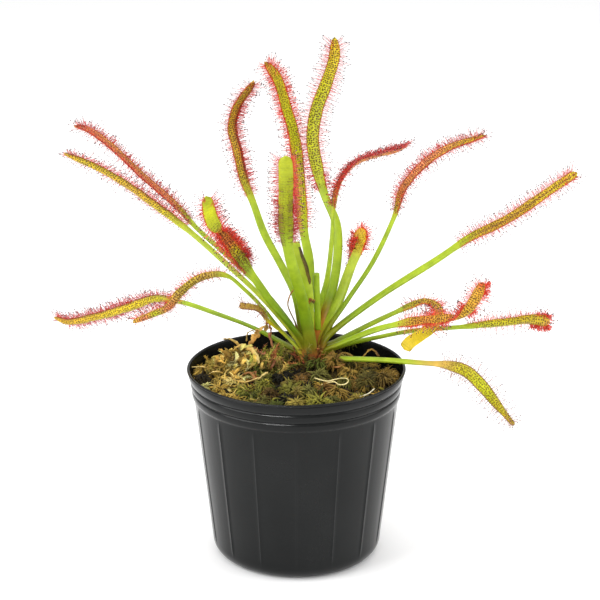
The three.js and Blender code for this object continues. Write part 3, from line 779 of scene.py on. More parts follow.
def scatter(draw, form):  # evenly strewn places, clear of the stem
    places = []
    gap = form["gap"]
    for i in range(form["count"] * moss["tries"]):
        if len(places) == form["count"]:
            break
        angle = draw.uniform(0, math.tau)
        radius = moss["reach"] * math.sqrt(draw.random())
        x, y = radius * math.cos(angle), radius * math.sin(angle)
        clear = math.hypot(x - crown.x, y - crown.y) > moss["stemClear"]
        if clear and all(abs(x - a) > gap or abs(y - b) > gap for a, b in places[-moss["near"]:]):
            places.append((x, y))
    return places


def heap(draw, form):  # places that lie thickest round a centre
    (x, y), (wide, deep) = form["centre"], form["spread"]
    return [(draw.gauss(x, wide), draw.gauss(y, deep)) for i in range(form["count"])]


def keepInPot(bm):  # what would pass through the pot's wall is bent in to it
    for vert in bm.verts:
        x, y, z = vert.co / mm
        radius = math.hypot(x, y)
        limit = potInner(min(z, pot["height"] - 1)) - 0.3
        if z < pot["height"] + 2 and radius > limit:
            vert.co.x *= limit / radius
            vert.co.y *= limit / radius


def placeMoss(name, form, templates, places, draw):
    bm, tint = newTinted()
    chosen = [([], []) for template in templates]
    for x, y in places:
        colour = linear(draw.choice(palettes[form.get("palette") or mossZone(x, y, draw)]))
        bright = draw.uniform(*moss["bright"])
        matrix = standing(x, y, draw.uniform(*form["lift"]), draw.uniform(*form["lean"]), draw,
                          draw.uniform(*form["size"]))
        matrices, tones = draw.choice(chosen)
        matrices.append(matrix)
        # painted shade at the root, painted highlight at the tip
        tones.append((tuple(c * bright * moss["paintedRootShade"] for c in colour),
                      tuple(min(1, c * bright * moss["paintedTipHighlight"]) for c in colour)))
    for template, (matrices, tones) in zip(templates, chosen):
        placeShaded(bm, tint, template, matrices, tones)
    keepInPot(bm)
    finishPiece(name, bm, [mossSkin])


def makeMoss():
    draw = random.Random(moss["seed"])
    lumps = [lumpTemplate(seed) for seed in range(6)]
    heads = [headTemplate(seed) for seed in range(6)]
    sprigs = [sprigTemplate(seed) for seed in range(6)]
    strands = [strandTemplate(seed) for seed in range(8)]
    curls = [curlTemplate(seed) for seed in range(8)]
    placeMoss("mossLumps", moss["lumps"], lumps, scatter(draw, moss["lumps"]), draw)
    placeMoss("mossTufts", moss["tufts"], lumps, moss["tuftPlaces"], draw)
    placeMoss("mossHeads", moss["heads"], heads, scatter(draw, moss["heads"]), draw)
    placeMoss("mossSprigs", moss["sprigs"], sprigs, scatter(draw, moss["sprigs"]), draw)
    placeMoss("mossFringe", moss["fringe"], sprigs, heap(draw, moss["fringe"]), draw)
    share = moss["strandShare"]
    places = [place for place in scatter(draw, moss["strands"])
              if draw.random() < share["left" if place[0] < moss["leftEnd"] else "else"]]
    placeMoss("mossStrands", moss["strands"], strands, places, draw)
    placeMoss("mossCurls", moss["curls"], curls, heap(draw, moss["curls"]), draw)


makeMoss()

def makeStrips(name, form, nodes=()):  # for each strip: its points, width, two colours and own options
    bm, tint = newTinted()
    for points, width, first, last, *own in form["strips"]:
        options = {**form["options"], **(own[0] if own else {})}
        skin = options.pop("skin", 0)
        before = set(bm.faces)
        addStrip(bm, tint, points, width, shades=(linear(form[first]), linear(form[last])), **options)
        for face in set(bm.faces) - before:
            face.material_index = skin
    if form.get("inPot"):
        keepInPot(bm)
    finishPiece(name, bm, form["skins"], nodes)


litter = {  # pale dry pieces that lie on the moss
    "strips": [
        ([(-43.4, 1, 80.4), (-40, 0.5, 80.8), (-37, 0, 80.6)], 0.5, "pale", "pale"),
        ([(-24, 17, 84.5), (-28, 18, 86.4), (-31, 17.4, 86.6)], 1.5, "straw", "pale"),
        ([(-21, 17, 86), (-20.4, 19, 89), (-18, 20, 89.6), (-16.8, 19, 87)], 1.2, "straw", "pale"),
        ([(-21, 8, 86.4), (-19.6, 5, 87.6), (-17.4, 2, 86.4), (-15.6, -2, 83)], 2.5, "straw", "pale"),
        ([(-27, 8, 84.5), (-23, 9, 87.5), (-19, 8, 85.5)], 2.2, "straw", "pale"),
        ([(-36, -6, 80), (-33, -8, 82), (-30, -6.5, 80.6)], 0.9, "pale", "straw"),
        ([(-26, -12, 80), (-21, -17, 80.6), (-15, -16, 82.2)], 0.8, "straw", "pale"),
        ([(-15.5, -15, 81), (-13, -12, 82.6), (-11.5, -9.5, 82)], 1.3, "pale", "pale"),
        ([(-22, -8, 80.5), (-19, -11, 82.6), (-16.5, -15, 80.6)], 1.4, "rust", "rust"),
        ([(-18, -6, 80.5), (-16.6, -10, 82.4), (-17.5, -14, 80.8)], 1.2, "rust", "red"),
        ([(14, 0, 81), (17.5, -4, 82.6), (20, -1.5, 82.8)], 1.3, "rust", "brown"),
        ([(25, -30.5, 79.4), (28, -30, 80.2), (31.4, -27, 81.6)], 0.7, "white", "white"),
        ([(24.6, -31.2, 79.4), (27.5, -30.4, 79.8)], 1.3, "white", "white"),
        ([(27, 8, 82), (31, 10, 85.2), (34.5, 8.5, 82.5)], 1.6, "amber", "brown"),
        ([(16, 14, 80.4), (20, 15, 81.8), (23.5, 14, 80.6)], 1.5, "amber", "straw"),
    ],
    "options": {"thick": 0.3, "side": (0, 1, 0.2), "curl": 1.4, "steps": 18, "crumple": 0.3},
    "skins": [drySkin], "inPot": True,
    "pale": (218, 194, 128), "straw": (196, 160, 82), "rust": (142, 96, 54), "red": (134, 82, 52),
    "brown": (118, 84, 40), "amber": (168, 132, 58), "white": (240, 234, 214),
}
makeStrips("dryLitter", litter)

stem = {
    "profile": [(0, 62), (1.3, 62), (2.2, 67), (3.6, 72), (4.0, 78), (3.7, 81), (3.1, 84), (2.4, 87),
                (1.5, 89.5), (0, 90)],
    "columns": 36, "swell": 0.2, "seed": 9, "scaleLength": 5.0, "scaleWidth": 1.5, "scaleThick": 0.25,
    "scales": 54, "scaleHeights": (78.5, 85.5), "scaleRadius": 3.4,
    "outerScales": 46, "outerHeights": (79.5, 82.5), "outerRadius": (5.8, 6.8), "outerLean": 0.6,
    "shades": [(164, 92, 56), (190, 116, 72), (124, 72, 42), (178, 92, 64), (136, 122, 46), (162, 138, 60)],
}


def makeStem():
    draw = random.Random(stem["seed"])
    bm, tint = newTinted()
    shades = [linear(shade) for shade in stem["shades"]]
    spinProfile(bm, stem["profile"], stem["columns"])
    side = [edge for edge in bm.edges if abs(edge.verts[0].co.z - edge.verts[1].co.z) > 1 * mm]
    bmesh.ops.subdivide_edges(bm, edges=side, cuts=3, use_grid_fill=True)
    for vert in bm.verts:
        rough = noise.noise(vert.co * 420)
        swell = 1 + stem["swell"] * rough * ease(vert.co.z / mm, 66, 76)
        vert.co.x *= swell
        vert.co.y *= swell
        vert.co += crown * mm
        vert[tint] = (*blend(shades[2], shades[0], ease(rough, -0.3, 0.4)), 1)
    for i in range(stem["scales"] + stem["outerScales"]):  # the papery bases of old leaves, in two rings
        outer = i >= stem["scales"]
        low, high = stem["scaleHeights"]
        height = draw.uniform(*stem["outerHeights"]) if outer else mix(low, high, (i / stem["scales"]) ** 0.8)
        length = stem["scaleLength"] * draw.uniform(0.6, 1.15)
        out = draw.uniform(0.3, 1.0) * (stem["outerLean"] if outer else 1)
        aim = pointing(i * goldenTurn)
        foot = crown + aim * (draw.uniform(*stem["outerRadius"]) if outer else stem["scaleRadius"])
        foot.z = height
        points = [foot, foot + aim * out * length * 0.35 + Vector((0, 0, length * 0.5)),
                  foot + aim * out * length + Vector((0, 0, length * (1.0 - 0.5 * out)))]
        pair = (draw.choice(shades), draw.choice(shades))
        width = stem["scaleWidth"] * draw.uniform(0.6, 1.2)
        addStrip(bm, tint, points, width, stem["scaleThick"], (-aim.y, aim.x, 0), pair, sides=6, steps=6)
    finishPiece("stemPiece", bm, [drySkin], ["stem"])


makeStem()

colours = {
    "base": (168, 96, 56), "deepGreen": (92, 124, 14), "midGreen": (128, 154, 24),
    "stalkGreen": (152, 174, 40), "paleGreen": (168, 184, 60), "golden": (222, 196, 38),
    "lime": (192, 196, 28), "moss": (146, 154, 18), "ochre": (202, 162, 42), "olive": (194, 182, 28),
    "orange": (222, 142, 58), "rust": (208, 116, 48), "red": (204, 74, 34), "crimson": (150, 32, 28),
    "scarlet": (236, 66, 36), "rose": (214, 40, 36), "pale": (214, 148, 142), "grey": (160, 110, 96),
    "brown": (140, 92, 46), "maroon": (64, 6, 16), "darkRed": (104, 20, 18), "bareLime": (158, 166, 34),
    "tan": (196, 160, 76), "ruby": (188, 32, 32), "salmon": (228, 142, 98),
}
colours = {name: linear(colour) for name, colour in colours.items()}

leafForm = {
    "stations": 124, "around": 16, "startRadius": 5.3, "sheathRadius": 3.2, "sheathDrop": -7.0,
    "sheathLow": 77, "stalkThickness": 0.66, "bladeThickness": 1.1, "channel": 0.55, "keel": 0.5,
    "widen": 1.05, "stalkWiden": 1.2, "wave": 0.09, "edgeWave": 0.35, "neckDepth": 0.5, "neckLength": 0.022,
    "edgeShare": 0.85, "limeShare": 0.3,
}
nowhere = (2, 3)  # a stretch past a leaf's tip

hairForm = {
    "droops": (0.02, 0.25, 0.55, -0.3), "wrapDroop": 2.0, "drop": (0.25, 0.34), "dropShare": 0.15,
    "lift": 0.6, "sway": 0.32, "sideSway": 0.14, "tipFan": 1.1, "startFan": 0.35, "tuftFan": 0.8,
    "wrapOut": 0.3, "wrapSway": 0.35, "sunk": 0.12, "reach": (0.62, 1.12),
    "startShort": 0.3, "bright": (0.8, 1.15), "faceShare": 0.3, "paleTip": 0.6, "paleEdge": 0.15,
    "darkShare": 0.3, "glandShade": 0.9, "glandBright": (0.7, 1.3),
}

tentacleKinds = {  # without a shade the gland is as the hair; spread is how far the lean varies
    "long": {"root": 0.105, "gland": (0.165, 0.33), "shade": "maroon", "spread": 0.6, "shapes": (1, 5, 3)},
    "edge": {"root": 0.1, "gland": (0.135, 0.2), "shade": None, "spread": 0.5, "shapes": (0, 4, 2)},
    "mass": {"root": 0.14, "gland": (0.2, 0.26), "shade": None, "spread": 0.9, "shapes": (0, 4, 2)},
    "face": {"root": 0.07, "gland": (0.17, 0.2), "shade": "darkRed", "spread": 0.2, "shapes": (0, 4, 2)},
    "wrap": {"root": 0.09, "gland": (0.15, 0.2), "shade": "maroon", "spread": 0, "shapes": (2, 4, 2)},
}

rows = [  # where across the blade, how long, how far they lean up, how many a mm and their kind
    (-1.0, 4.6, -0.1, 1.6, "long"), (1.0, 4.6, -0.1, 1.6, "long"),
    (-0.92, 3.2, 0.7, 0.8, "long"), (0.92, 3.2, 0.7, 0.8, "long"),
    (-1.0, 2.2, 0.2, 2.0, "edge"), (1.0, 2.2, 0.2, 2.0, "edge"),
    (-0.76, 1.6, 1.2, 1.2, "face"), (0.76, 1.6, 1.2, 1.2, "face"),
    (-0.4, 1.1, 2.2, 1.2, "face"), (0.4, 1.1, 2.2, 1.2, "face"),
    (0.0, 0.9, 3.0, 1.3, "face"),
]
massRow = (1.0, 2.8, 0.3, 1.0, "mass")  # stands thick where a leaf lists a mass of tentacles
wrapRow = (1.0, 4.0, -1.5, 1.0, "wrap")  # curls round the margin and lies across the underside

leafCommon = {  # what a leaf has unless its own row says otherwise
    "hair": "rose", "green": "stalkGreen",  # tentacles and petiole, as one colour or as stops along them
    "paintedFurrowShade": 0.2, "stipple": 0.9,  # how dark the painted shade in the furrows across the blade is, and how strongly it is dotted
    "narrow": 0.12, "blunt": 0.93,  # how much it narrows, and where its tip starts to round
    "flush": 0.15, "split": 0.0,  # red at the petiole's foot; where across the blade half takes over from top
    "face": 1, "faceEnd": 0.99,  # how thick tentacles stand on the face, and where they end
    "flare": 1, "tuft": 12,  # how widely those of the margin fan, and how many more are at the tip
    "mass": [], "massLean": 0.3,  # stretches with many more: from, to, side and how many a mm
    "wrap": [],  # stretches with some that curl under: from, to and how many a mm
    "bare": nowhere, "smooth": nowhere,  # stretches without tentacles, and without the painted furrow shade and dots
}

leaves = [  # path is out from the crown, aside (left out where nought) and up; turn or twist is the roll
    {"name": "farLeftLow", "node": "leaf_far_left_low", "heading": 158, "base": (158, 82.5), "petiole": 2.3,
     "blade": 4.3, "bladeFrom": 0.5, "turn": (60, 55), "seed": 11, "top": "rust",
     "under": [(0, "olive"), (0.3, "golden"), (1, "ochre")], "edge": "brown", "dense": 1.5, "paintedFurrowShade": 0.4,
     "green": [(0, "deepGreen"), (0.5, "midGreen"), (1, "stalkGreen")], "flare": 0.9,
     "mass": [(0.45, 0.7, 1, 2.5), (0.1, 1, -1, 1.2), (0.7, 1, 1, 1)],
     "path": [(11, 85), (26, 91), (43, 95), (59, 98), (71, 98), (85, 92), (100, 86), (114, 82),
              (120, 83.5)]},
    {"name": "leftCurled", "node": "leaf_left_curled", "heading": 174, "base": (180, 85), "petiole": 1.9,
     "blade": 4.6, "bladeFrom": 0.48, "turn": (50, 48), "seed": 12, "top": "orange",
     "under": [(0, "olive"), (0.12, "tan"), (0.5, "tan"), (0.64, "salmon"), (0.78, "lime"), (0.88, "salmon"),
               (1, "ochre")], "edge": "ochre", "hair": "scarlet", "dense": 1.0, "paintedFurrowShade": 1.2,
     "path": [(13, 93), (21, 103), (28, 110), (36, 116), (46, 114.5), (55, 107.5), (60, 101), (67, 97.5),
              (75, 94)]},
    {"name": "left", "node": "leaf_left", "heading": 195, "base": (205, 88), "petiole": 2.6, "blade": 4.8,
     "bladeFrom": 0.55, "turn": (38, 34), "seed": 13, "top": "orange",
     "under": [(0, "olive"), (0.5, "ochre"), (1, "ochre")], "edge": "brown", "dense": 1.4, "paintedFurrowShade": 0.4,
     "green": [(0, "midGreen"), (0.3, "paleGreen"), (1, "paleGreen")], "flare": 0.9,
     "path": [(20, 108), (35, 124), (50, 139), (64, 151), (76, 161), (88, 169), (101, 176)]},
    {"name": "leftHigh", "node": "leaf_left_high", "heading": 179, "base": (181, 90), "petiole": 2.4,
     "blade": 4.4, "bladeFrom": 0.52, "turn": (-15, -15), "seed": 14,
     "top": [(0, "olive"), (0.2, "salmon"), (1, "salmon")], "under": "ochre", "edge": "red", "dense": 1.4,
     "flare": 1.3, "face": 1.1, "mass": [(0, 0.95, -1, 1.2), (0, 0.95, 1, 1.2)], "stipple": 0.45,
     "path": [(17, 107), (32, 123), (46, 136), (57, 148), (69, 159), (81, 171), (90, 178), (96, 180)]},
    {"name": "frontLeft", "node": "leaf_front_left", "heading": 218, "base": (229, 89), "petiole": 3.2,
     "blade": 5.6, "bladeFrom": 0.53, "twist": [(0, 0), (0.5, -70), (0.62, -92), (1, -102)], "seed": 15,
     "top": [(0, "midGreen"), (0.16, "moss"), (0.28, "olive"), (0.4, "rust"), (0.55, "rust"),
             (0.63, "bareLime"), (0.8, "lime"), (1, "bareLime")], "under": "lime",
     "edge": [(0, "red"), (0.54, "red"), (0.64, "lime"), (1, "lime")],
     "hair": [(0, "ruby"), (0.1, "ruby"), (0.35, "scarlet"), (1, "rose")], "dense": 1.5, "paintedFurrowShade": 0.7,
     "green": [(0, "deepGreen"), (0.35, "deepGreen"), (0.7, "midGreen"), (1, "stalkGreen")],
     "smooth": (0.8, 2), "face": 0.9,
     "mass": [(0.05, 0.3, -1, 1), (0.3, 0.6, -1, 5), (0.1, 0.6, 1, 8), (0.36, 0.6, -0.75, 3),
              (0.14, 0.6, 0.75, 4)], "wrap": [(0.0, 0.25, 3)], "faceEnd": 0.82, "neck": 0.815, "blunt": 0.95,
     "narrow": 0, "path": [(22, 111), (34, 128), (39, 135), (46, 144), (50, 149), (52, 154.5), (53, 160.5)]},
    {"name": "backLeft", "node": "leaf_back_left", "heading": 140, "base": (136, 90), "petiole": 2.9,
     "blade": 4.6, "bladeFrom": 0.53, "turn": (-10, -20), "seed": 16,
     "top": [(0, "olive"), (0.4, "ochre"), (1, "ochre")], "under": "ochre", "edge": "rust", "dense": 1.1,
     "half": [(0, "rust"), (0.15, "crimson"), (1, "crimson")], "split": 0.42, "face": 0.8,
     "mass": [(0.05, 0.75, 1, 2)],
     "path": [(9, 106.5), (16, 117), (26, 130), (32, 142), (37, 151), (41, 164), (43.5, 172.5), (40.5, 182),
              (31, 194)]},
    {"name": "back", "node": "leaf_back", "heading": 100, "base": (112, 90.5), "petiole": 3.3, "blade": 5.1,
     "bladeFrom": 0.37, "turn": (5, 10), "seed": 17,
     "top": [(0, "orange"), (0.35, "orange"), (0.55, "lime"), (0.85, "olive"), (1, "orange")],
     "under": "lime", "edge": [(0, "ochre"), (0.5, "orange"), (1, "red")], "hair": "scarlet", "dense": 1.0,
     "mass": [(0, 0.6, -1, 2.6), (0.6, 1, -1, 4), (0.6, 1, 1, 4)], "face": 0.9,
     "half": [(0, "lime"), (0.5, "lime"), (0.85, "olive"), (1, "ochre")], "split": -0.3, "stipple": 0.6,
     "path": [(18, -2, 116), (27, -1, 129), (35, -1, 142), (41, -1, 154), (46, 0, 166), (49, 2, 174),
              (52, 6, 188), (53, 11, 195)]},
    {"name": "front", "node": "leaf_front", "heading": 262, "base": (258, 89.5), "petiole": 3.8,
     "blade": 5.6, "bladeFrom": 0.55, "turn": (5, 10), "seed": 18, "top": "red",
     "under": [(0, "midGreen"), (0.3, "moss"), (0.6, "moss"), (0.85, "bareLime")],
     "edge": [(0, "moss"), (0.5, "olive"), (1, "bareLime")],
     "hair": [(0, "ruby"), (0.3, "ruby"), (0.7, "rose"), (1, "rose")], "dense": 1.4, "paintedFurrowShade": 0.35,
     "green": [(0, "deepGreen"), (0.15, "deepGreen"), (0.5, "midGreen"), (1, "stalkGreen")],
     "smooth": (0.84, 2), "stipple": 0.25, "blunt": 0.965, "narrow": 0.02,
     "mass": [(0.02, 0.45, -1, 4), (0.45, 0.6, -1, 2), (0.02, 0.55, 1, 2.5)],
     "wrap": [(0, 0.55, 5), (0.55, 0.78, 1.5)],
     "path": [(8, -2, 103), (12, -3, 112), (17, -5, 123), (22, -7, 136), (27, -7, 149), (33, -6, 168),
              (35, -6, 177)]},
    {"name": "backTall", "node": "leaf_back_tall", "heading": 78, "base": (64, 90), "petiole": 3,
     "blade": 5.2, "bladeFrom": 0.49, "turn": (0, 0), "seed": 19,
     "top": [(0, "lime"), (0.5, "lime"), (1, "golden")], "under": "lime", "edge": "olive", "dense": 0.85,
     "paintedFurrowShade": 0.1, "face": 1.5, "mass": [(0.0, 0.1, -1, 6), (0.0, 0.1, 1, 6)], "flush": 0.75,
     "path": [(8.5, -4.2, 99), (18, -6.6, 116), (26, -5, 131), (31, 1, 142), (35, 5, 152), (39, 8, 164),
              (42, 7, 176), (44, 3, 188), (45, 0, 199), (45, 0, 207)]},
    {"name": "rightArched", "node": "leaf_right_arched", "heading": 48, "base": (88, 91), "petiole": 2.2,
     "blade": 4.2, "bladeFrom": 0.49, "turn": (-30, -30), "seed": 20, "top": "red",
     "under": [(0, "olive"), (0.2, "orange"), (1, "orange")], "edge": "crimson", "dense": 1.6, "flare": 2.0,
     "mass": [(0.0, 0.95, -1, 2.4), (0.0, 0.95, 1, 2.4)], "flush": 0.75,
     "path": [(9, 113), (12, 131), (13, 144), (16.5, 153), (25, 159), (40, 160), (52, 159.5), (60, 160.5)]},
    {"name": "rightHigh", "node": "leaf_right_high", "heading": 13, "base": (17, 91), "petiole": 2.1,
     "blade": 4.6, "bladeFrom": 0.53, "turn": (16, 16), "seed": 21,
     "top": [(0, "rust"), (0.5, "salmon"), (1, "golden")], "under": "ochre", "edge": "brown", "dense": 1.5,
     "green": [(0, "deepGreen"), (0.45, "midGreen"), (1, "stalkGreen")],
     "half": [(0, "rust"), (0.35, "salmon"), (1, "golden")], "flare": 1.3, "narrow": 0.25,
     "mass": [(0, 0.85, -1, 1.0), (0, 0.5, 1, 1.0)],
     "path": [(15, 105.5), (25.5, 121), (34.5, 140), (38.5, 152), (47, 161.5), (57, 167.5), (73, 172)]},
    {"name": "right", "node": "leaf_right", "heading": 8, "base": (-4, 89.5), "petiole": 2.7, "blade": 4.4,
     "bladeFrom": 0.54, "turn": (35, 30), "seed": 22, "top": [(0, "lime"), (0.3, "ochre"), (1, "golden")],
     "under": "golden", "edge": "ochre", "dense": 1.2, "paintedFurrowShade": 0.3,
     "half": [(0, "olive"), (0.3, "ochre"), (1, "golden")], "face": 0.7, "midline": 0.7, "narrow": 0.02,
     "blunt": 0.975,
     "path": [(11, 94.5), (29, 107.5), (51, 121), (65, 130), (82, 138), (97, 148), (110, 156.5)]},
    {"name": "backRightHooked", "node": "leaf_back_right_hooked", "heading": 36, "base": (41, 88.5),
     "petiole": 3.9, "blade": 5.5, "bladeFrom": 0.6, "turn": (10, 10), "seed": 23,
     "top": [(0, "ochre"), (0.3, "golden"), (0.5, "orange"), (1, "ochre")], "under": "lime",
     "edge": "orange", "hair": "scarlet", "dense": 1.0,
     "green": [(0, "midGreen"), (0.3, "stalkGreen"), (1, "paleGreen")], "face": 0.5,
     "mass": [(0.05, 0.7, -1, 7), (0.1, 0.75, 1, 7)], "flush": 0.3, "stipple": 0.4,
     "path": [(13, -1, 104.5), (20, 0.5, 116.5), (26, 2, 124.5), (28.3, 3.6, 128), (28.6, 6, 128.6),
              (27.4, 7.8, 124.4), (25.8, 8.6, 115.5)]},
    {"name": "rightCurled", "node": "leaf_right_curled", "heading": 16, "base": (30, 84.5), "petiole": 2.4,
     "blade": 4.4, "bladeFrom": 0.46, "turn": (10, 10), "seed": 24,
     "top": [(0, "olive"), (0.35, "ochre"), (0.7, "golden"), (1, "golden")], "under": "golden",
     "edge": [(0, "golden"), (0.9, "golden"), (1, "brown")], "hair": "scarlet", "dense": 0.9,
     "bare": (0.84, 2), "tuft": 0, "narrow": -0.15, "blunt": 0.985,
     "mass": [(0.3, 0.55, -1, 3), (0.3, 0.55, 1, 3)], "smooth": (0.8, 2),
     "path": [(11, 1.5, 87), (30, 2, 94.5), (42, 1.5, 99), (48.5, 0.5, 101), (52, -2.5, 100.5),
              (52.5, -7, 98), (49, -11, 94.5), (43, -13.5, 91.5), (38, -14, 89), (35.5, -14, 86)]},
    {"name": "rightUpturned", "node": "leaf_right_upturned", "heading": -12, "base": (-15, 85),
     "petiole": 2.4, "blade": 5.0, "bladeFrom": 0.43,
     "twist": [(0, 0), (0.4, 35), (0.7, 30), (0.86, -65), (1, -75)], "seed": 25,
     "top": [(0, "ochre"), (0.4, "orange"), (1, "rust")],
     "under": [(0, "orange"), (0.7, "ochre"), (0.88, "orange"), (1, "red")], "edge": "orange",
     "hair": "scarlet", "dense": 1.25, "paintedFurrowShade": 0.9, "tuft": 40, "face": 0.55,
     "mass": [(0.1, 0.6, 1, 3), (0.58, 0.72, -1, 8), (0.58, 0.72, 1, 8), (0.86, 1, -1, 14)],
     "path": [(11, 88), (28, 96), (40, 99.5), (54, 102), (62, 104), (67, 110.5), (70.5, 119)]},
    {"name": "rightLevel", "node": "leaf_right_level", "heading": 6, "base": (7, 83), "petiole": 2.4,
     "blade": 4.8, "bladeFrom": 0.63, "twist": [(0, 0), (0.6, -45), (0.85, -60), (1, -52)], "seed": 26,
     "top": "ochre", "under": [(0, "lime"), (0.5, "olive"), (0.9, "ochre"), (1, "orange")], "edge": "ochre",
     "hair": "scarlet", "dense": 1.25, "paintedFurrowShade": 0.3, "tuft": 120, "narrow": -0.75, "flare": 2.4,
     "mass": [(0.78, 1.0, -1, 16), (0.84, 1.0, -0.8, 8), (0.84, 1.0, 1, 9)], "blunt": 0.975,
     "massLean": -1.2,
     "path": [(11, 0, 86), (28, 0, 89.5), (41, 0, 91.5), (62, 0, 92.5), (79, 0, 93.5), (92, 0, 94.5),
              (99.5, -1.5, 93.6)]},
    {"name": "rightDrooping", "node": "leaf_right_drooping", "heading": -22, "base": (-38, 81.5),
     "petiole": 2.5, "blade": 4.8, "bladeFrom": 0.56, "twist": [(0, 0), (0.5, 10), (0.66, 52), (1, 62)],
     "seed": 27, "top": [(0, "tan"), (0.22, "olive"), (0.5, "lime"), (0.75, "olive"), (1, "golden")],
     "under": "olive", "edge": "brown", "hair": "grey", "dense": 0.8, "paintedFurrowShade": 0.3,
     "green": [(0, "deepGreen"), (0.3, "stalkGreen"), (0.7, "stalkGreen"), (1, "tan")], "narrow": 0.62,
     "flare": 1.6, "blunt": 0.985, "stipple": 0.7,
     "path": [(17, 83), (31, 84.5), (47, 85.5), (59, 86), (67, 84.5), (74, 79), (80.5, 72), (88, 64)]},
    {"name": "small", "node": "leaf_small", "heading": 195, "base": (203, 84.5), "petiole": 1.9,
     "blade": 3.4, "bladeFrom": 0.6, "turn": (-25, -25), "seed": 28, "top": "tan", "under": "tan",
     "edge": "brown", "hair": "grey", "dense": 0.6, "paintedFurrowShade": 0.6,
     "green": [(0, "ochre"), (0.4, "paleGreen"), (1, "olive")], "narrow": -0.15, "blunt": 0.96, "flare": 2.0,
     "stipple": 0.3, "path": [(12, 93), (18.5, 99), (23, 104.5), (28, 106), (31, 106.5)]},
]


def leafSpine(leaf):
    heading, baseAngle = math.radians(leaf["heading"]), math.radians(leaf["base"][0])
    outward, baseWay = pointing(heading), pointing(baseAngle)
    leftward = Vector((-outward.y, outward.x, 0))
    start = crown + baseWay * leafForm["startRadius"]
    start.z = leaf["base"][1]
    points = [start]
    for out, *aside, up in leaf["path"]:
        points.append(crown + outward * out + leftward * (aside[0] if aside else 0) + Vector((0, 0, up)))
    length = Spine(points, -leftward).length
    root = crown + baseWay * leafForm["sheathRadius"]
    root.z = max(start.z + leafForm["sheathDrop"], leafForm["sheathLow"])
    spine = Spine([root] + points, -leftward)
    added = spine.length - length
    leaf["bladeFrom"] = (leaf["bladeFrom"] * length + added) / spine.length
    leaf["petioleFrom"] = added / spine.length
    return spine


def alongBlade(leaf, u):  # the share of the blade, from its start to its tip
    return (u - leaf["bladeFrom"]) / (1 - leaf["bladeFrom"])


def atStops(stops, share, join):
    for (low, first), (high, last) in zip(stops, stops[1:]):
        if share <= high:
            return join(first, last, ease(share, low, high))
    return stops[-1][1]


def leafTurn(leaf, u):
    if "twist" in leaf:
        return math.radians(atStops(leaf["twist"], u, mix))
    first, last = leaf["turn"]
    if u < leaf["bladeFrom"]:
        return math.radians(first) * ease(u, 0, leaf["bladeFrom"])
    return math.radians(mix(first, last, alongBlade(leaf, u)))


def leafWidth(leaf, u):
    begin = leaf["bladeFrom"]
    stalk = leaf["petiole"] * leafForm["stalkWiden"] * mix(1.3, 1.05, ease(u, 0, begin * 0.6))
    stalk *= 1 - 0.12 * ease(u, begin * 0.7, begin)
    wide = mix(stalk, leaf["blade"] * leafForm["widen"], ease(u, begin - 0.04, begin + 0.09))
    wide *= 1 - leaf["narrow"] * ease(u, begin + 0.2, 1)
    wave = noise.noise(Vector((u * 14, leaf["seed"], 0))) * leafForm["wave"] * ease(u, begin, begin + 0.1)
    if "neck" in leaf:
        wide *= 1 - leafForm["neckDepth"] * math.exp(-((u - leaf["neck"]) / leafForm["neckLength"]) ** 2)
    end = leaf["blunt"]
    taper = math.sqrt(max(0.0, 1 - max(0.0, (u - end) / (1 - end)) ** 2))
    return wide * (1 + wave) * max(taper, 0.02)


def leafSurface(leaf, spine, u, across, upper):  # a point on a leaf; across runs from -1 to 1 over its width
    centre, way, side, up = spine.at(u, leafTurn(leaf, u))
    onBlade = ease(u, leaf["bladeFrom"] - 0.05, leaf["bladeFrom"] + 0.08)
    half = leafWidth(leaf, u) / 2
    thick = mix(leafForm["stalkThickness"] * half * 2, leafForm["bladeThickness"], onBlade) / 2
    thick *= 0.35 + 0.65 * math.sqrt(max(0.0, 1 - max(0.0, (u - 0.95) / 0.05) ** 2))
    bulge = math.sqrt(max(0.0, 1 - across * across)) ** mix(0.9, 0.7, onBlade)
    keel = 1 + leafForm["keel"] * (1 - abs(across)) * onBlade
    lift = thick * bulge * (0.75 if upper else -keel)
    lift += leafForm["channel"] * mix(0.3, 1, onBlade) * (across * across - 0.35)
    wave = noise.noise(Vector((u * 26, across * 0.7, leaf["seed"] + 9)))
    edge = wave * leafForm["edgeWave"] * onBlade * abs(across)
    return centre + side * across * half + up * (lift + edge), way, side, up


def leafShade(leaf, key, share):
    stops = leaf[key]
    if isinstance(stops, str):
        return colours[stops]
    return atStops([(place, colours[name]) for place, name in stops], share, blend)


def stalkTint(leaf, u):
    begin = leaf["petioleFrom"]
    if isinstance(leaf["green"], str):
        green = blend(colours["deepGreen"], colours["midGreen"], ease(u, begin, 0.2))
        green = blend(green, colours[leaf["green"]], ease(u, 0.12, 0.4))
    else:
        green = leafShade(leaf, "green", u / leaf["bladeFrom"])
    flush = leaf["flush"] * (1 - ease(u, begin + 0.02, begin + 0.13))
    return blend(colours["base"], blend(green, colours["rust"], flush), ease(u, 0, begin + 0.01))


def leafTint(leaf, u, across, upper):
    along = alongBlade(leaf, u)
    face = leafShade(leaf, "top" if upper else "under", along)
    if upper and "half" in leaf:
        split = leaf["split"]
        face = blend(face, leafShade(leaf, "half", along), ease(across, split - 0.25, split + 0.2))
    face = blend(face, leafShade(leaf, "edge", along), ease(abs(across), 0.7, 0.98) * leafForm["edgeShare"])
    if "midline" in leaf:
        face = blend(face, colours["brown"], leaf["midline"] * (1 - ease(abs(across), 0.0, 0.4)))
    drift = noise.noise(Vector((u * 8, across * 0.4, leaf["seed"] + 3)))
    face = blend(face, colours["lime"], leafForm["limeShare"] * ease(drift, 0.0, 0.5))
    return blend(stalkTint(leaf, u), face, ease(u, leaf["bladeFrom"] - 0.04, leaf["bladeFrom"] + 0.1))


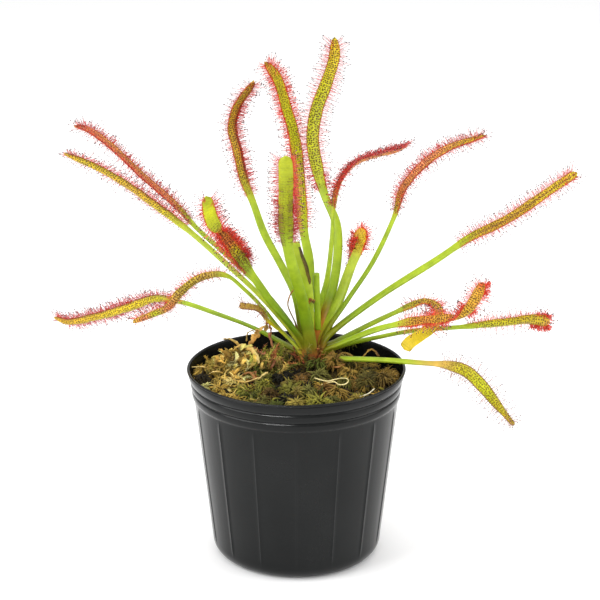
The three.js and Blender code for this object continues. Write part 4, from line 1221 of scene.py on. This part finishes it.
def makeBlade(leaf, spine):
    bm = bmesh.new()
    bmesh.ops.create_grid(bm, x_segments=leafForm["stations"], y_segments=leafForm["around"], size=0.5)
    tint = bm.verts.layers.float_color.new("tint")
    stippleBumpAndFurrowShade = bm.verts.layers.float_color.new("stippleBumpAndFurrowShade")
    strap = bm.loops.layers.uv.new("strap")
    flat = {}
    low, high = leaf["smooth"]
    for vert in bm.verts:
        u, turn = vert.co.x + 0.5, (vert.co.y + 0.5) * math.tau
        flat[vert] = (u * spine.length, (vert.co.y + 0.5))
        across, upper = math.cos(turn), math.sin(turn) >= 0
        vert.co = leafSurface(leaf, spine, u, across, upper)[0] * mm
        vert[tint] = (*leafTint(leaf, u, across, upper), 1)
        onBlade = ease(u, leaf["bladeFrom"], leaf["bladeFrom"] + 0.08)
        rough = onBlade * (1 - 0.9 * ease(u, low, low + 0.1) * (1 - ease(u, high, high + 0.1)))
        stipple = rough * leaf["stipple"]
        # red is the stipple, green how deep the bumps of the bands are, blue how dark the painted shade in
        # the furrows is
        vert[stippleBumpAndFurrowShade] = (stipple, onBlade * 0.5 + 0.1, leaf["paintedFurrowShade"] * rough, 1)
    for face in bm.faces:
        for loop in face.loops:
            loop[strap].uv = flat[loop.vert]
    bmesh.ops.remove_doubles(bm, verts=bm.verts, dist=0.004 * mm)
    bmesh.ops.holes_fill(bm, edges=[edge for edge in bm.edges if edge.is_boundary], sides=0)
    bmesh.ops.recalc_face_normals(bm, faces=bm.faces)
    return bm


def tentacleShapes(length, kind):  # stalks of one row, each with the point where its gland sits
    shapes = []
    for droop in hairForm["droops"] + (hairForm["wrapDroop"],):
        shape = bentCone(3, kind["shapes"][0], kind["root"] / length, 0.55, 1, droop, 0)
        shapes.append((shape, Vector(((1 - math.cos(droop)) / droop, 0, math.sin(droop) / droop))))
    return shapes


def roundTemplate(around, up):
    bm = bmesh.new()
    bmesh.ops.create_uvsphere(bm, u_segments=around, v_segments=up, radius=1)
    return toTemplate(bm, "round")


stalkShapes = {row[1]: tentacleShapes(row[1], tentacleKinds[row[4]]) for row in rows + [massRow, wrapRow]}
glandShapes = {kind: roundTemplate(*form["shapes"][1:]) for kind, form in tentacleKinds.items()}
dropShape = roundTemplate(6, 4)


def facing(root, aim, inward):  # stands +Z along a tentacle and +X towards the side it bends to
    along = aim.normalized()
    bent = (inward - along * inward.dot(along)).normalized()
    turn = Matrix((bent, along.cross(bent), along)).transposed().to_4x4()
    return Matrix.Translation(root) @ turn


def tentaclePlaces(leaf, spine, draw):  # each: along, across, length, lean, kind and whether it's at the tip
    bladeLength = spine.length * (1 - leaf["bladeFrom"])
    places = []
    low, high = leaf["bare"]
    for across, length, lean, density, kind in rows:
        onFace = kind == "face"
        last = leaf["faceEnd"] if onFace else leafCommon["faceEnd"]
        count = int(bladeLength * density * leaf["dense"] * (leaf["face"] if onFace else 1))
        spread = tentacleKinds[kind]["spread"] * (1 if onFace else leaf["flare"])
        for i in range(count):
            u = mix(leaf["bladeFrom"] + 0.005, last, (i + draw.uniform(0.1, 0.9)) / count)
            spot = across * draw.uniform(0.88, 1.0) if across else draw.uniform(-0.35, 0.35)
            if not low < u < high:
                places.append((u, spot, length, lean + draw.uniform(-spread, spread), kind, 0))
    across, length, lean, density, kind = massRow
    lean = leaf["massLean"]
    spread = tentacleKinds[kind]["spread"]
    for low, high, across, density in leaf["mass"]:
        for i in range(int(bladeLength * (high - low) * density)):
            u = mix(leaf["bladeFrom"], 1, draw.uniform(low, min(high, 0.985)))
            spot = across * draw.uniform(0.75, 1.0)
            places.append((u, spot, length, lean + draw.uniform(-spread, spread), kind, 0))
    across, length, lean, density, kind = wrapRow
    for low, high, density in leaf["wrap"]:
        for i in range(int(bladeLength * (high - low) * density)):
            u = mix(leaf["bladeFrom"], 1, draw.uniform(low, high))
            places.append((u, draw.choice((-1, 1)) * 0.99, length, lean, kind, 0))
    for i in range(leaf["tuft"]):
        across, length, lean, density, kind = draw.choice((rows[0], rows[2], rows[4]))
        u, spot, lean = draw.uniform(0.93, 0.99), draw.uniform(-0.9, 0.9), draw.uniform(-0.1, 1.6)
        places.append((u, spot, length, lean, kind, 1))
    return places


def tentacleAim(place, start, axes, draw):  # the way a tentacle points, and the side it bends to
    u, spot, length, lean, kind, atTip = place
    way, side, up = axes
    sway, aside, wrapSway = (hairForm[name] for name in ("sway", "sideSway", "wrapSway"))
    fan = hairForm["tipFan"] * ease(u, 0.94, 1.0) - hairForm["startFan"] * start + hairForm["tuftFan"] * atTip
    aim = side * spot * (1 if abs(spot) > 0.8 else 0.5) + up * lean * hairForm["lift"]
    aim += way * (draw.uniform(-sway, sway) + fan)
    aim += side * draw.uniform(-aside, aside)
    if kind == "wrap":
        aim = side * spot * hairForm["wrapOut"] - up + way * draw.uniform(-wrapSway, wrapSway)
        return aim, side * -spot
    return aim, up


def glandTint(kind, hair, draw):
    shade = tentacleKinds[kind]["shade"]
    gland = colours[shade] if shade else tuple(c * hairForm["glandShade"] for c in hair)
    if kind == "edge" and draw.random() < hairForm["darkShare"]:
        gland = colours["darkRed"]
    return tuple(c * draw.uniform(*hairForm["glandBright"]) for c in gland)


def makeTentacles(leaf, spine):
    draw = random.Random(leaf["seed"])
    bm, tint = newTinted()
    stalks = {}
    glands = {kind: ([], []) for kind in tentacleKinds}
    dewy = []
    places = tentaclePlaces(leaf, spine, draw)
    for place in places:
        u, spot, length, lean, kind, atTip = place
        root, *axes = leafSurface(leaf, spine, u, spot, True)
        start = 1 - ease(u, leaf["bladeFrom"], leaf["bladeFrom"] + 0.06)
        aim, inward = tentacleAim(place, start, axes, draw)
        reach = length * draw.uniform(*hairForm["reach"]) * (1 - hairForm["startShort"] * start)
        pick = draw.randrange(len(hairForm["droops"]))
        if kind == "wrap":
            pick = len(hairForm["droops"])
        stands = Matrix.Scale(mm, 4) @ facing(root - aim.normalized() * hairForm["sunk"], aim, inward)
        bright = draw.uniform(*hairForm["bright"])
        hair = leafShade(leaf, "hair", alongBlade(leaf, u))
        shade = tuple(c * bright for c in hair)
        if kind == "face":
            shade = blend(leafTint(leaf, u, spot, True), shade, hairForm["faceShare"])
        if kind == "wrap":
            shade = colours["darkRed"]
        outer = blend(shade, colours["pale"], hairForm["paleTip" if kind == "long" else "paleEdge"])
        matrices, tones = stalks.setdefault((length, pick), ([], []))
        matrices.append(stands @ Matrix.Scale(reach, 4))
        tones.append((shade, outer))
        gland = glandTint(kind, hair, draw)
        wide, long = tentacleKinds[kind]["gland"]
        head = stands @ Matrix.Translation(stalkShapes[length][pick][1] * reach)
        glands[kind][0].append(head @ Matrix.Diagonal((wide, wide, long, 1)))
        glands[kind][1].append((gland, gland))
        if kind == "long" and draw.random() < hairForm["dropShare"]:
            wide, long = hairForm["drop"]
            dewy.append(head @ Matrix.Diagonal((wide, wide, long, 1)))
    for (length, pick), (matrices, tones) in stalks.items():
        placeShaded(bm, tint, stalkShapes[length][pick][0], matrices, tones)
    counts = [len(bm.faces)]
    for kind, (matrices, tones) in glands.items():
        placeShaded(bm, tint, glandShapes[kind], matrices, tones)
    counts.append(len(bm.faces))
    placeCopies(bm, dropShape, dewy)
    for i, face in enumerate(bm.faces):  # stalks, then glands, then dew
        face.material_index = 1 + sum(i >= count for count in counts)
    return toTemplate(bm, "tentacles"), len(places)


def makeLeaves():
    total = 0
    skins = [leafSkin, stalkSkin, glandSkin, dewSkin]
    for own in leaves:
        leaf = {**leafCommon, **own}
        spine = leafSpine(leaf)
        bm = makeBlade(leaf, spine)
        hairs, count = makeTentacles(leaf, spine)
        bm.from_mesh(hairs)
        bpy.data.meshes.remove(hairs)
        total += count
        finishPiece("leaf_" + leaf["name"], bm, skins, [leaf["node"]])
    print("stage: tentacles", total)


makeLeaves()

petioleStub = {  # a cut petiole, and the withered strip and the knot that hang on it
    "strips": [
        ([(4.9, 8.8, 93.4), (4.9, 8.8, 105), (4.0, 9, 114), (0.4, 8, 126.5), (-0.9, 8, 132)], 4.7, "green",
         "pale", {"thick": 1.4, "steps": 40, "sides": 14, "taper": 0.05, "square": True, "crumple": 0.02,
                  "skin": 1}),
        ([(5.4, 8.6, 114), (5.2, 7.2, 118), (3.6, 6.3, 123), (2.0, 5.9, 127.5), (0.9, 6, 130.5)], 1.9,
         "brown", "dark", {"thick": 0.7, "curl": 2.0, "steps": 24}),
        ([(7.4, 7.4, 106.2), (5.8, 7.2, 107.6), (4.8, 7.4, 106.0)], 1.6, "brown", "rust",
         {"thick": 1.0, "side": (0, 0, 1), "crumple": 0.5}),
    ],
    "options": {"side": (1, 0, 0)}, "skins": [drySkin, leafSkin],
    "green": (146, 172, 34), "pale": (164, 182, 54), "dark": (66, 58, 26), "brown": (112, 94, 44),
    "rust": (170, 112, 48),
}
makeStrips("petioleStub", petioleStub, ["petiole_stub"])

flowerStalk = {
    "strips": [([(8.9, 11, 93.4), (8.5, 10.4, 106), (8.1, 10, 118)], 2.6, "green", "green")],
    "options": {"thick": 2.4, "side": (1, 0, 0), "steps": 30, "sides": 14, "taper": -0.05, "square": True,
                "crumple": 0.02},
    "skins": [leafSkin], "green": (146, 172, 34),
}
makeStrips("flowerStalkStub", flowerStalk, ["flower_stalk_stub"])

thinCurl = {
    "strips": [([(0.5, 9, 92), (-0.6, 8.4, 97), (-2.4, 8, 101.5), (-3.6, 8, 105), (-2.6, 8.2, 109.5),
                 (-0.4, 8.4, 112.5)], 0.9, "brown", "rust")],
    "options": {"thick": 0.5, "side": (0, 1, 0), "curl": 2.0, "steps": 30},
    "skins": [drySkin], "brown": (112, 94, 44), "rust": (170, 112, 48),
}
makeStrips("thinCurl", thinCurl)

deadLeaves = {
    "strips": [
        ([(-7, 5, 80), (-8.6, 6.6, 84.5), (-10.4, 8, 89), (-11.2, 8.2, 93)], 1.3, "brown", "pinkish"),
        ([(-10.8, 8.2, 90.6), (-10.4, 7.4, 94), (-11.2, 7.2, 97.4), (-12.6, 8, 98)], 2.2, "pinkish", "rust"),
        ([(-11.4, 8.4, 94.6), (-13.8, 8.4, 95.6), (-16, 8.2, 94.2), (-17.4, 8, 91.6)], 2.9, "tan", "golden",
         {"crumple": 0.55}),
        ([(-15.8, 8.2, 93.6), (-18, 8, 91), (-19.6, 7.6, 88), (-19, 7, 85), (-20.4, 6.2, 83)], 3.0, "golden",
         "amber", {"crumple": 0.6}),
        ([(-17.6, 7, 87), (-15.6, 5.8, 85.2), (-13, 5, 84.4)], 1.6, "rust", "pinkish", {"crumple": 0.5}),
        ([(-7, 4, 80.5), (-9.6, 3, 83.4), (-12.6, 2.4, 82.6), (-14.6, 1.6, 80)], 1.5, "pinkish", "brown",
         {"crumple": 0.4}),
        ([(-4.6, 3.6, 80.5), (-6.4, 1, 84.4), (-9, -0.8, 83.6), (-10.6, -2, 80.6)], 1.3, "brown", "rust",
         {"crumple": 0.4}),
    ],
    "options": {"thick": 0.45, "side": (0.3, -1, 0.2), "curl": 1.8, "steps": 44, "sides": 12, "taper": 0.1,
                "crumple": 0.3},
    "skins": [drySkin], "pinkish": (172, 116, 84), "rust": (144, 90, 56), "tan": (204, 172, 112),
    "golden": (196, 154, 82), "amber": (180, 132, 62), "brown": (122, 86, 50),
}
makeStrips("deadLeaves", deadLeaves, ["withered_leaves"])

fibre = {  # its points lie level, and rise and fall a little from left to right
    "loop": [(7.2, -16.6), (12.5, -19.4), (15.4, -17.9), (18.3, -15.8), (20.5, -17.5), (20.7, -21.2),
             (19.1, -23.6), (17, -22.6), (15.4, -20.6), (12.9, -21.4), (10, -23.4)],
    "height": 81.9, "wave": 0.3, "width": 0.48, "pale": (240, 226, 170), "skins": [drySkin],
    "options": {"thick": 0.48, "side": (0, 1, 0), "steps": 110, "taper": 0.4},
}
fibre["strips"] = [([(x, y, fibre["height"] + fibre["wave"] * math.sin(x)) for x, y in fibre["loop"]],
                    fibre["width"], "pale", "pale")]
makeStrips("fibreLoop", fibre, ["fibre_loop"])
